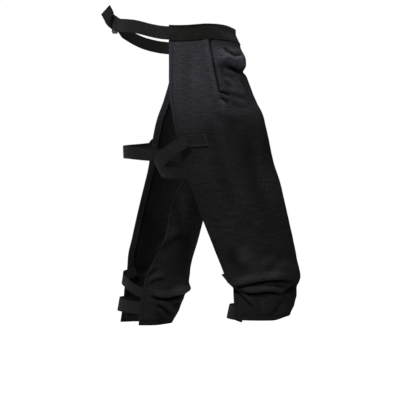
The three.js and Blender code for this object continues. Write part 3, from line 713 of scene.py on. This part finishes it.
# leg panels
shellMesh = {"columns": 108, "rows": 236, "weave": (0.42, 0.56)}
hem = {
    "turned": 14 * mm, "stitchIn": 6 * mm, "rows": [7 * mm, 11 * mm], "under": -0.9 * mm,
    "groove": 0.3 * mm, "grooveWidth": 0.9 * mm, "wrapSteps": 5, "flapSteps": 4,
    "near": [2.4, 3.6, 4.8, 5.6, 6.0, 6.4, 7.2, 8.6, 10.8, 13.4],  # mm inside the edge, where rows are closer
}
sewing = {"pitch": 3.6 * mm, "length": 2.7 * mm, "radius": 0.32 * mm, "lift": 0.05 * mm}


def hemProfile(radius):
    # distances inside an edge and how far round its fold each lies, from the turned-in edge to the face side
    inset, turned, kind = [], [], []
    for k in range(hem["flapSteps"] + 1):
        inset.append(hem["turned"] + (radius - hem["turned"]) * k / hem["flapSteps"])
        turned.append(1.0)
        kind.append("flap")
    kind.pop()
    for k in range(1, hem["wrapSteps"] + 1):
        angle = math.pi * (1 - k / hem["wrapSteps"])
        inset.append(radius * (1 - math.sin(angle)))
        turned.append((1 - math.cos(angle)) / 2)
        kind.append("wrap")
    for distance in hem["near"]:
        inset.append(distance * mm)
        turned.append(0.0)
        kind.append("main")
    return inset, turned, kind


def makeShell(surface):
    name = surface["name"]
    radius = (panel["lining"] + panel["gap"] + 0.1 * mm + panel["shell"] / 2 - hem["under"]) / 2
    inset, turned, kind = hemProfile(radius)
    middleColumns, middleRows = shellMesh["columns"], shellMesh["rows"]
    nearCount = len(inset)
    columns = 2 * (nearCount - 1) + middleColumns
    columnInset = np.array(inset + [0] * (middleColumns - 1) + inset[::-1])
    columnTurned = np.array(turned + [0.0] * (middleColumns - 1) + turned[::-1])
    columnKind = np.array(kind + ["main"] * middleColumns + kind[::-1])
    first, final = nearCount - 1, nearCount - 1 + middleColumns
    rowStations = np.concatenate([
        np.linspace(0, surface["stationAbove"](inset[-1]), middleRows + 1),
        surface["stationAbove"](np.array(inset[::-1][1:]))])
    rowTurned = np.concatenate([np.zeros(middleRows + 1), turned[::-1][1:]])
    rowKind = np.array(["main"] * middleRows + kind[::-1])
    rows = len(rowStations) - 1
    lastMain = surface["stationAbove"](radius)

    def place(i, j):
        station, insets = rowStations[j], columnInset[i].copy()
        fromHem = (panel["lastStation"] - station) * surface["perStation"]
        fromTop = station * 40 * mm
        flap = columnTurned[i] == 1
        mitre = np.clip((fromHem - radius) / (hem["turned"] - radius), 0.05, 1)
        mitre = mitre * ease(fromTop, 4 * mm, 12 * mm)
        insets = np.where(flap, radius + (insets - radius) * np.maximum(mitre, 0.05), insets)
        middle = (i > first) & (i < final)
        share = (i - first) / (final - first)
        low = surface["turnInside"](0, np.where(middle, inset[-1], insets), station)
        high = surface["turnInside"](1, np.where(middle, inset[-1], insets), station)
        turn = np.where(i <= first, low, np.where(i >= final, high, low + (high - low) * share))
        # the turned-up hem narrows to a mitre at both sides
        sideInset = np.where(middle, 1.0, columnInset[i])
        narrow = np.clip((sideInset - radius) / (hem["turned"] - radius), 0.05, 1)
        station = np.where(rowTurned[j] == 1, lastMain + (station - lastMain) * narrow, station)
        under = 1 - (1 - columnTurned[i]) * (1 - rowTurned[j])
        onFace = surface["shellInside"](turn, np.minimum(station, lastMain)) + panel["shell"] / 2
        groove = bump(np.where(middle, 1.0, insets), hem["stitchIn"], hem["grooveWidth"])
        for stitched in hem["rows"]:
            groove = groove + bump(fromHem, stitched, hem["grooveWidth"]) * (rowTurned[j] == 0)
        groove = groove * (columnTurned[i] == 0)
        lift = onFace - groove * hem["groove"] + (hem["under"] - onFace) * under
        # the fold value also paints shade into the hem's stitch grooves
        return surface["lifted"](turn, station, lift), surface["folded"](turn, station) - 1.6 * groove

    def skip(i, j):
        column, row = columnKind[i], rowKind[j]
        return ((column == "flap") & (row != "main")) | ((column == "wrap") & (row == "flap"))

    bm = clothGrid(columns, rows, place, shellMesh["weave"], skip)
    piece = makePiece(f"{name}_shell_cloth", bm, cloths["shellCloth"])
    thicken(piece, panel["shell"])
    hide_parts(f"{name}_shell")
    return piece


def makeLining(surface):
    name, columns, rows = surface["name"], 64, 120
    edge = 2.2 * mm
    bottom = surface["stationAbove"](edge)

    def place(i, j):
        station = bottom * j / rows
        low, high = surface["turnInside"](0, edge, station), surface["turnInside"](1, edge, station)
        return surface["lifted"](low + (high - low) * i / columns, station, panel["lining"] / 2)

    bm = clothGrid(columns, rows, place, (0.41, 0.55))
    piece = makePiece(f"{name}_lining_cloth", bm, cloths["liningCloth"])
    thicken(piece, panel["lining"])
    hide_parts(f"{name}_lining")
    return piece


quilt = {"columns": 56, "rows": 96, "from": 0.07, "top": 3.6, "bottom": 11.4, "channel": 0.055, "pinch": 0.55}


def makePad(surface):
    # layers of fibre, quilted together in slanting channels, that taper to their edges
    name, columns, rows = surface["name"], quilt["columns"], quilt["rows"]

    def layer(outer):
        def place(i, j):
            station = quilt["top"] + (quilt["bottom"] - quilt["top"]) * j / rows
            u = quilt["from"] + (1 - 2 * quilt["from"]) * i / columns
            turn = surface["turnAt"](u, station)
            inner = panel["lining"] + panel["gap"]
            room = surface["shellInside"](turn, station) - panel["gap"] - inner
            down = surface["bare"](turn, station)[..., 2]
            slant = np.abs(((u * 0.34 + down) / quilt["channel"]) % 1 - 0.5) * 2
            other = np.abs(((u * 0.34 - down) / quilt["channel"]) % 1 - 0.5) * 2
            pinch = 1 - quilt["pinch"] * np.maximum(bump(slant, 0, 0.12), bump(other, 0, 0.12))
            rim = np.minimum(np.minimum(i, columns - i) / 3, np.minimum(j, rows - j) / 3)
            thick = np.maximum(room, 0.4 * mm) * pinch * (0.15 + 0.85 * ease(rim))
            return surface["lifted"](turn, station, inner + (thick if outer else 0))
        return place

    bm = clothGrid(columns, rows, layer(True), (0.33, 0.4))
    bmesh.ops.reverse_faces(bm, faces=bm.faces[:])
    inner = clothGrid(columns, rows, layer(False), (0.33, 0.4))
    joinInto(bm, inner)
    bmesh.ops.bridge_loops(bm, edges=[edge for edge in bm.edges if edge.is_boundary])
    bmesh.ops.recalc_face_normals(bm, faces=bm.faces[:])
    piece = makePiece(f"{name}_pad_fibre", bm, cloths["padFibre"])
    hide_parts(f"{name}_pad")
    return piece


def onShell(surface, turn, station):
    # points on the shell's face, and the way out there
    lift = surface["shellInside"](turn, station) + panel["shell"]
    return surface["lifted"](turn, station, lift), surface["normal"](turn, station)


def makePanelStitching(surface):
    bm = bmesh.new()
    stations = np.linspace(0.12, surface["stationAbove"](5 * mm), 150)
    for edge in (0, 1):
        turn = surface["turnInside"](edge, hem["stitchIn"], stations)
        stitchLine(bm, *onShell(surface, turn, stations), sewing)
    for inset in hem["rows"]:
        station = np.full(120, float(surface["stationAbove"](inset)))
        low, high = (surface["turnInside"](edge, hem["stitchIn"], station) for edge in (0, 1))
        turn = low + (high - low) * np.linspace(0, 1, len(station))
        stitchLine(bm, *onShell(surface, turn, station), sewing)
    # the left leg's stitches take the darker thread, a painted shade
    thread = shadedThread if surface["name"] == "left" else blackThread
    return makePiece(f"{surface['name']}_panel_stitching", bm, thread)


def hangFromWaist(piece):
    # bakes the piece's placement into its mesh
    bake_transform(piece)


surfaces = {name: legSurface(name) for name in legs}
for name, surface in surfaces.items():
    shell, lining = makeShell(surface), makeLining(surface)
    pad, stitching = makePad(surface), makePanelStitching(surface)
    for piece in (shell, lining, stitching):
        hangFromWaist(piece)
    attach(pad, f"{name}_leg")
    print("leg panel made:", name)


patch = {
    "length": 50 * mm, "width": 26 * mm, "in": -4 * mm, "lift": 0.9 * mm, "rise": 3 * mm,
    "seamIn": (0.05, 0.1), "columns": 26, "rows": 14,
}


def turnAfter(surface, turn, station, distance):
    # the turn that lies a distance further along the surface
    step, left = math.copysign(0.5, distance), abs(distance)
    while left > 0:
        left -= float(np.linalg.norm(surface["bare"](turn + step, station) - surface["bare"](turn, station)))
        turn += step
    return turn


strap = {
    "widths": {"thigh": 25 * mm, "knee": 20 * mm, "calf": 26 * mm}, "thickness": 1.6 * mm,
    "laps": {"thigh": 11, "knee": 17, "calf": 17},  # degrees that the free end reaches past the panel's edge
    "tape": 1 * mm, "tapePair": 2.9 * mm, "hookReach": 0.1, "sewnLift": -2.4 * mm, "slack": 0.5 * mm,
    "steps": 150, "across": 10, "edge": 0.35 * mm, "bend": 7 * mm,
}


def strapLine(surface, kind):
    # the middle line of a strap from its free end round the back of the leg to its sewn end
    stations, lap = surface["leg"][kind], strap["laps"][kind]
    outer = float(surface["turnAt"](0, stations[0]))
    inner = 360 + float(surface["turnAt"](1, stations[7]))
    turns = [outer - lap, outer - lap / 2, outer + 1] + [outer + (inner - outer) * k / 4 for k in (1, 2, 3)]
    turns += [inner - 8, inner + 3, inner + 11]
    sewn, slack = strap["sewnLift"], strap["slack"]
    if kind == "thigh":
        free = float(surface["shellInside"](outer - 9, stations[0])) + panel["shell"] + patch["lift"]
        free += strap["tape"] + strap["tapePair"] + strap["thickness"] / 2
    else:
        free = sewn - strap["tapePair"]
    tuck = surface["leg"]["tucks"][kind]
    lifts = [free, free, free, slack - 0.6 * tuck, slack - tuck, slack - 0.6 * tuck, sewn / 2, sewn, sewn]
    flaps = [1, 1, 1, 0.25, 0, 0, 0, 0, 0]
    course = np.array([turns, stations, lifts, flaps]).T

    def line(share, offset=0.0):
        row = spline(course, np.asarray(share) * (len(course) - 1))
        turn, station, lift = row[..., 0], row[..., 1], row[..., 2] + offset
        flap = np.clip(row[..., 3], 0, 1)
        return surface["lifted"](turn, station, lift, flap), surface["normal"](turn, station, flap)

    return line


def shadedEdges(v, depth):
    # painted shade: the edges of a band are painted darker; v runs from -0.5 to 0.5
    return -depth * ease(np.abs(v), 0.37, 0.49)


def ribbonGrid(line, width, start, end, steps, across, offset=0.0, crown=0.0):
    # a band along a strap's line, as a sheet through the middle of its thickness
    share = np.linspace(start, end, steps + 1)
    points, normals = line(share, offset)
    ahead, behind = line(share + 0.006, offset)[0], line(share - 0.006, offset)[0]
    along = unit(ahead - behind)
    sideways = unit(np.cross(along, normals))
    out = unit(np.cross(sideways, along))
    out = np.where(np.sum(out * normals, -1, keepdims=True) < 0, -out, out)

    def place(i, j):
        v = i / across - 0.5
        lift = -crown * (2 * v) ** 2
        # painted shade along the band's edges and across its first rows at the free end
        folded = shadedEdges(v, 2.2) - 2.4 * (j < 2)
        return points[j] + sideways[j] * (v * width)[:, None] + out[j] * lift[:, None], folded

    return clothGrid(across, steps, place, (width, travel(points)[-1])), (points, sideways, out)


def boxStitch(bm, points, sideways, out, fromEnd, length, width, lift, thread, crossed=True):
    # a sewn rectangle, with a cross in it if asked for, near one end of a band
    travelled = travel(points)

    def at(s, v):
        s = s if fromEnd >= 0 else travelled[-1] - s
        middle, across, away = (readAlong(values, travelled, s) for values in (points, sideways, out))
        return middle + across * v[..., None] + away * lift, away * math.copysign(1, lift)

    near, far, half = abs(fromEnd), abs(fromEnd) + length, width / 2
    corners = [(near, -half), (far, -half), (far, half), (near, half)]
    sides = list(zip(corners, corners[1:] + corners[:1]))
    if crossed:
        sides += [(corners[0], corners[2]), (corners[3], corners[1])]
    t = np.linspace(0, 1, 12)
    for (s0, v0), (s1, v1) in sides:
        stitchLine(bm, *at(s0 + (s1 - s0) * t, v0 + (v1 - v0) * t), thread)


strapSewing = {"pitch": 2.6 * mm, "length": 2.0 * mm, "radius": 0.28 * mm, "lift": 0.02 * mm}


def makeStrap(surface, kind):
    # the webbing from end to end, hook tape on its free end, stitching at both ends, and the loop tape
    legName, name, width = surface["name"], f"{surface['name']}_{kind}", strap["widths"][kind]
    body, leg = f"{name}_strap", f"{legName}_leg"
    line = strapLine(surface, kind)
    inside = kind != "thigh"
    bm, (points, sideways, out) = ribbonGrid(line, width, 0, 1, strap["steps"], strap["across"],
                                             crown=0.1 * mm)
    band = makePiece(f"{name}_strap_webbing", bm, cloths["strapWebbing"])
    thicken(band, strap["thickness"], strap["edge"])
    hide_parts(f"{name}_strap", f"{name}_strap_sewn")
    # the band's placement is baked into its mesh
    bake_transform(band)
    overTape = (strap["thickness"] + strap["tape"]) / 2 + panel["gap"]
    side = 1 if inside else -1
    bm, _ = ribbonGrid(line, width - 3 * mm, 0.012, strap["hookReach"], 20, 8, offset=side * overTape)
    hook = makePiece(f"{name}_hooks", bm, cloths["hookTape"])
    thicken(hook, strap["tape"] * 0.9, 0.2 * mm)
    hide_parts(f"{name}_hook_tape")
    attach(hook, body)
    onFace = strap["thickness"] / 2 + 0.05 * mm
    sewnLength = strap["hookReach"] * travel(points)[-1] - 6 * mm
    bm = bmesh.new()
    boxStitch(bm, points, sideways, out, 3.5 * mm, sewnLength, width - 7 * mm, -side * onFace, strapSewing,
              crossed=False)
    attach(makePiece(f"{name}_strap_end_stitching", bm, greyThread), body)
    bm = bmesh.new()
    boxStitch(bm, points, sideways, out, -3 * mm, 9 * mm, width - 6 * mm, -onFace, strapSewing)
    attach(makePiece(f"{name}_strap_sewn_stitching", bm, greyThread), leg)
    if inside:
        bm, _ = ribbonGrid(line, width, 0, strap["hookReach"] + 0.06, 26, 10,
                           offset=overTape + strap["tape"] + 0.6 * mm)
        loop = makePiece(f"{name}_loops", bm, cloths["loopTape"])
        thicken(loop, strap["tape"] * 0.9, 0.2 * mm)
    else:
        loop = makePatch(surface)
    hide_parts(f"{name}_loop_tape")
    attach(loop, leg)


def makePatch(surface):
    # the loop tape on the outside of the panel that the thigh strap closes on
    station = surface["leg"]["thigh"][0]
    start = turnAfter(surface, float(surface["turnAt"](0, station)), station, patch["in"])
    steps = np.linspace(0, 1, patch["columns"] + 1)
    turns = [turnAfter(surface, start, station, -0.01 * mm - step * patch["length"]) for step in steps]
    ends = [surface["bare"](60.0, station + away)[2] for away in (-1, 1)]
    heights, stations = np.linspace(*ends, 60), np.linspace(station - 1, station + 1, 60)
    level = float(surface["bare"](start, station)[2])

    def at(u, v, lift):
        turn = np.interp(u, steps, turns)
        z = level + u * patch["rise"] + (v - 0.5) * patch["width"]
        s = np.interp(-z, -heights, stations)
        lift = surface["shellInside"](turn, s) + panel["shell"] + patch["lift"] + lift
        return surface["lifted"](turn, s, lift), surface["normal"](turn, s)

    def place(i, j):
        return at(i / patch["columns"], j / patch["rows"], strap["tape"] / 2)[0]

    bm = clothGrid(patch["columns"], patch["rows"], place, (patch["length"], patch["width"]))
    piece = makePiece(f"{surface['name']}_thigh_loops", bm, cloths["loopTape"])
    thicken(piece, strap["tape"], 0.25 * mm)
    bm = bmesh.new()
    t = np.linspace(0, 1, 16)
    left, low = patch["seamIn"]
    across, up = left + (1 - 2 * left) * t, low + (1 - 2 * low) * t
    sides = [(across, low + 0 * t), (across, 1 - low + 0 * t), (left + 0 * t, up), (1 - left + 0 * t, up)]
    for u, v in sides:
        stitchLine(bm, *at(u, v, strap["tape"] + 0.05 * mm), strapSewing)
    stitching = makePiece(f"{surface['name']}_thigh_patch_stitching", bm, paleThread)
    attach(stitching, f"{surface['name']}_leg")
    return piece


for name, surface in surfaces.items():
    for kind in ("thigh", "knee", "calf"):
        makeStrap(surface, kind)
    print("straps made:", name)


# waistband
band = {
    "below": 1.7 * mm, "turnedOver": 5 * mm, "under": -0.9 * mm, "ease": 0.5 * mm, "seam": 0.35 * mm,
    "seamWidth": 0.9 * mm, "seamsIn": (1.5 * mm, 2.5 * mm), "columns": 180, "faceRows": 18, "wrapSteps": 5,
    "turnedRows": 3,
}


def bandRipple(turn, rise):
    # the casing puckers a little where the elastic webbing draws it in
    places = np.stack([turn, rise * 1000], -1)
    slow = np.array([noise.noise(Vector((a * 0.16, b * 0.05, 2.0))) for a, b in places])
    fine = np.array([noise.noise(Vector((a * 0.5, b * 0.09, 7.0))) for a, b in places])
    return slow + 0.5 * fine


def makeWaistFace():
    half, end = waist["casingHeight"] / 2, waist["casingEnd"]
    outer, under = waist["faceLift"] + waist["cloth"] / 2, band["under"]
    radius = (outer - under) / 2
    rises = list(np.linspace(-half - band["below"], half, band["faceRows"] + 1))
    lifts = [outer] * len(rises)
    for k in range(1, band["wrapSteps"] + 1):
        angle = math.pi * k / band["wrapSteps"]
        rises.append(half + radius * 0.55 * math.sin(angle))
        lifts.append(under + radius * (1 + math.cos(angle)))
    for k in range(1, band["turnedRows"] + 1):
        rises.append(half - band["turnedOver"] * k / band["turnedRows"])
        lifts.append(under)
    rises, lifts = np.array(rises), np.array(lifts)
    low, high = band["seamsIn"]

    def place(i, j):
        turn = -end + 2 * end * i / band["columns"]
        face = j <= band["faceRows"] + 1
        seam = bump(rises[j], -half + low, band["seamWidth"]) + bump(rises[j], half - high, band["seamWidth"])
        ripple = bandRipple(turn, rises[j]) * (np.abs(rises[j]) < half * 0.8) * face
        # the fold value paints the face darker in a strip along its top edge and along its lower edge, a
        # painted shadow at the seam there, and paints light and shade over the puckers
        darker = 3.0 * ease(rises[j], half - 3.2 * mm, half - 1.8 * mm)
        darker = darker + 3.4 * ease(-rises[j], half - 2 * mm, half)
        lift = lifts[j] - band["seam"] * seam * face + ripple * band["ease"]
        return waistPoint(turn, lift, rises[j]), ripple * 0.8 - darker

    bm = clothGrid(band["columns"], len(rises) - 1, place, (0.47, 0.046))
    face = makePiece("waistband_face_cloth", bm, cloths["waistCloth"])
    thicken(face, waist["cloth"])
    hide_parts("waistband_face")
    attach(face, "waist")
    return face


def makeWaistLining():
    half, end = waist["casingHeight"] / 2, waist["casingEnd"]
    rises = np.linspace(-half - band["below"], half - 0.6 * mm, 16)
    lifts = waist["cloth"] / 2 - 1.4 * mm * ease(-rises, half - 3 * mm, half - 0.2 * mm)

    def place(i, j):
        return waistPoint(-end + 2 * end * i / band["columns"], lifts[j], rises[j])

    bm = clothGrid(band["columns"], len(rises) - 1, place, (0.46, 0.031))
    piece = makePiece("waistband_lining_cloth", bm, cloths["liningCloth"])
    thicken(piece, waist["cloth"])
    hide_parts("waistband_lining")
    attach(piece, "waist")
    return piece


def makeWaistStitching():
    # a row along each edge of the casing, and one across each end
    half, end = waist["casingHeight"] / 2, waist["casingEnd"]
    bm = bmesh.new()
    turns = np.linspace(-end + 1.5, end - 1.5, 260)
    lift = waist["faceLift"] + waist["cloth"] + 0.02 * mm
    low, high = -half + band["seamsIn"][0], half - band["seamsIn"][1]
    for rise in (low, high):
        stitchLine(bm, waistPoint(turns, lift, rise), waistNormal(turns), sewing)
    rises = np.linspace(low, high, 12)
    for turn in (-end + 1.7, end - 1.7):
        stitchLine(bm, waistPoint(turn, lift, rises), waistNormal(np.full(12, turn)), sewing)
    piece = makePiece("waistband_stitching", bm, blackThread)
    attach(piece, "waist")
    return piece


waistFace, waistLining, waistStitching = makeWaistFace(), makeWaistLining(), makeWaistStitching()
print("waistband made")


# belt
socketBox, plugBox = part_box("buckle_socket"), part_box("buckle_plug")
buckle = {
    "x": socketBox[1].x - 29 * mm, "y": (socketBox[0].y + socketBox[1].y) / 2,
    "z": (socketBox[0].z + socketBox[1].z) / 2, "socketHalf": 5 * mm, "plugHalf": 2.5 * mm,
    "socketBar": 27 * mm, "plugBar": -21.5 * mm, "socketBarHalf": 2 * mm, "plugBarHalf": 1.5 * mm,
}
belt = {
    "middle": waist["webbingLift"] + waist["webbingThickness"] / 2, "across": 10, "edge": 0.35 * mm,
    "insideCasing": 2.6, "pastLeft": 8.3,  # degrees inside the casing's right end and past its left end
    "insideRight": 1.7,  # degrees inside the casing that the right end starts
    "hump": 5 * mm, "humpAt": 127, "humpReach": 17,  # the right end rises a little behind the hip
}


def foldRound(barX, barHalf, frameHalf, towards):
    # the belt's end runs up to a bar, under it, and up through the slot beyond it
    y, z = buckle["y"], buckle["z"]
    under = y - frameHalf - waist["webbingThickness"] / 2 - panel["gap"]
    beyond = barX - towards * (barHalf + waist["webbingThickness"] / 2 + 3 * panel["gap"])
    return [(barX + towards * 14 * mm, under - 0.5 * mm, z), (barX + towards * 3 * mm, under - 0.4 * mm, z),
            (barX - towards * (barHalf + 0.6 * mm), under - 0.3 * mm, z), (beyond, y - 0.5 * mm, z)]


def alongPath(path, steps):
    # even points along a smooth path
    fine = spline(path, np.linspace(0, len(path) - 1, 40 * len(path)))
    travelled = travel(fine)
    return readAlong(fine, travelled, np.linspace(0, travelled[-1], steps + 1)), travelled[-1]


def beltPiece(name, points, across, length, node):
    # webbing on its edge along the points; across gives the way its width runs at each point
    along = unit(np.gradient(points, axis=0))
    out = unit(np.cross(along, across))

    def place(i, j):
        v = i / belt["across"] - 0.5
        crown = (0.1 * mm * (2 * v) ** 2)[:, None]
        # painted shade along the belt's edges
        return points[j] + across[j] * (v * waist["webbing"])[:, None] - out[j] * crown, shadedEdges(v, 1.6)

    bm = clothGrid(belt["across"], len(points) - 1, place, (waist["webbing"], length))
    piece = makePiece(name, bm, cloths["strapWebbing"])
    thicken(piece, waist["webbingThickness"], belt["edge"])
    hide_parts(node)
    return piece, out


def beltRun(turns, rises=0):
    return list(waistPoint(turns, belt["middle"], rises))


end = waist["casingEnd"]
casing = beltRun(np.arange(end - belt["insideCasing"], -end - 1, -6))
leftRun = beltRun(np.arange(-end - belt["pastLeft"], -163, -8))
leftEnd = foldRound(buckle["x"] + buckle["socketBar"], buckle["socketBarHalf"], buckle["socketHalf"], 1)
points, length = alongPath(np.array(casing + leftRun + leftEnd), 300)
upright = np.tile([0.0, 0.0, 1.0], (len(points), 1))
beltLeft, _ = beltPiece("belt_webbing_band", points, upright, length, "belt_webbing")
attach(beltLeft, "waist")

turns = np.arange(end - belt["insideRight"], 160, 9)
rightRun = beltRun(turns, belt["hump"] * bump(turns, belt["humpAt"], belt["humpReach"]))
rightEnd = foldRound(buckle["x"] + buckle["plugBar"], buckle["plugBarHalf"], buckle["plugHalf"], -1)
points, length = alongPath(np.array(rightRun + rightEnd), 120)
beltRight, _ = beltPiece("belt_right_band", points, upright[:len(points)], length, "belt_end_right")
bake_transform(beltRight)

tail = {
    "path": [(1.5, 0, 0), (-6, 0, 0), (-11, 0.5, 0.5), (-14.5, 2, 3.5), (-15.5, 4.4, 10), (-15.2, 7.8, 17),
             (-15, 11.8, 24.5)],
    "lean": 42, "steps": 44, "seams": (0.80, 0.84),
}
over = buckle["y"] + buckle["plugHalf"] + waist["webbingThickness"] / 2 + panel["gap"]
tailBase = np.array([buckle["x"] + buckle["plugBar"], over, buckle["z"]])
points, length = alongPath(tailBase + np.array(tail["path"]) * mm, tail["steps"])
lean = np.radians(tail["lean"]) * ease(np.linspace(0, 1, len(points)), 0.28, 0.6)
across = unit(np.stack([0 * lean, -np.sin(lean), np.cos(lean)], -1))
tailBand, out = beltPiece("belt_tail_band", points, across, length, "belt_tail")
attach(tailBand, "tail")
bm = bmesh.new()
onFace = waist["webbingThickness"] / 2 + 0.05 * mm
t = np.linspace(-0.42, 0.42, 8)[:, None]
for share in tail["seams"]:
    at = int(share * (len(points) - 1))
    for away in (out[at], -out[at]):
        line = points[at] + across[at] * t * waist["webbing"] + away * onFace
        stitchLine(bm, line, np.tile(away, (len(t), 1)), strapSewing)
tailStitching = makePiece("belt_tail_stitching", bm, greyThread)
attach(tailStitching, "tail")
print("belt made")


# buckle
moulding = {"edge": 0.55 * mm, "segments": 3, "sharp": 32}


def makeMoulding(name, body):
    # the moulding's own shape with its flats made whole and its edges rounded
    bm = bmesh.new()
    bm.from_mesh(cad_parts[f"buckle_{name}"].data)
    bmesh.ops.remove_doubles(bm, verts=bm.verts[:], dist=0.01 * mm)
    bmesh.ops.dissolve_limit(bm, angle_limit=math.radians(1.5), verts=bm.verts[:], edges=bm.edges[:])
    limit = math.radians(moulding["sharp"])
    sharp = [edge for edge in bm.edges if len(edge.link_faces) == 2 and edge.calc_face_angle(0) > limit]
    bmesh.ops.bevel(bm, geom=sharp, offset=moulding["edge"], affect="EDGES", segments=moulding["segments"],
                    profile=0.5, material=-1, clamp_overlap=True)
    piece = makePiece(f"{name}_moulding", bm, buckleNylon)
    piece.data.set_sharp_from_angle(angle=math.radians(40))
    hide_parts(f"buckle_{name}")
    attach(piece, body)


makeMoulding("socket", "waist")
for name in ("plug", "latch_upper", "latch_lower"):
    makeMoulding(name, name)
print("buckle made")


# stage, light and camera
stage = {"floor": -1.05, "width": 30, "paint": 0.9, "light": 0.20, "backdrop": 1.0, "glow": 0.85}
bm = bmesh.new()
level = Matrix.Translation((0, 0, stage["floor"]))
bmesh.ops.create_grid(bm, x_segments=1, y_segments=1, size=stage["width"], matrix=level)
floorMesh = bpy.data.meshes.new("floor")
bm.to_mesh(floorMesh)
bm.free()
floor = bpy.data.objects.new("floor", floorMesh)
scene.collection.objects.link(floor)
floorPaint, floorTree, floorShader = startMaterial("floorPaint", 0.9, 0.1)
floorShader.inputs["Base Color"].default_value = (stage["paint"],) * 3 + (1,)
floorShader.inputs["Emission Color"].default_value = (1, 1, 1, 1)
seen = addNode(floorTree, "ShaderNodeLightPath")
glow = times(floorTree, seen.outputs["Is Camera Ray"], stage["glow"])
floorTree.links.new(glow, floorShader.inputs["Emission Strength"])
floorMesh.materials.append(floorPaint)

# the backdrop is white to the eye and lights the cloth more softly
world = bpy.data.worlds.new("studio")
scene.world = world
world.use_nodes = True
tree = world.node_tree
backdrop = tree.nodes["Background"]
backdrop.inputs["Color"].default_value = (1, 1, 1, 1)
seen = addNode(tree, "ShaderNodeLightPath")
extra = times(tree, seen.outputs["Is Camera Ray"], stage["backdrop"] - stage["light"])
tree.links.new(plus(tree, extra, stage["light"]), backdrop.inputs["Strength"])

softboxes = {
    "key": {"at": (-1.6, 0.8, 2.3), "size": 0.7, "power": 165},
    "fill": {"at": (-2.6, -1.8, 0.2), "size": 1.4, "power": 5},
    "rim": {"at": (1.4, -1.9, 1.3), "size": 1.2, "power": 9},
}
lookAt = Vector((-0.05, -0.05, -0.3))
for name, box in softboxes.items():
    light = bpy.data.lights.new(name, "AREA")
    light.shape, light.size, light.energy = "DISK", box["size"], box["power"]
    lamp = bpy.data.objects.new(name, light)
    lamp.location = box["at"]
    lamp.rotation_euler = (lookAt - Vector(box["at"])).to_track_quat("-Z", "Y").to_euler()
    scene.collection.objects.link(lamp)

view = {"at": (-3.2, -0.046, -0.326), "acrossAtOrigin": 0.78, "sensor": 36}
camera = bpy.data.objects.new("camera", bpy.data.cameras.new("camera"))
camera.data.sensor_width = view["sensor"]
camera.data.lens = view["sensor"] * -view["at"][0] / view["acrossAtOrigin"]
camera.location = view["at"]
camera.rotation_euler = (math.pi / 2, 0, -math.pi / 2)
scene.collection.objects.link(camera)
scene.camera = camera
scene.view_settings.view_transform = "Standard"
print("stage made")
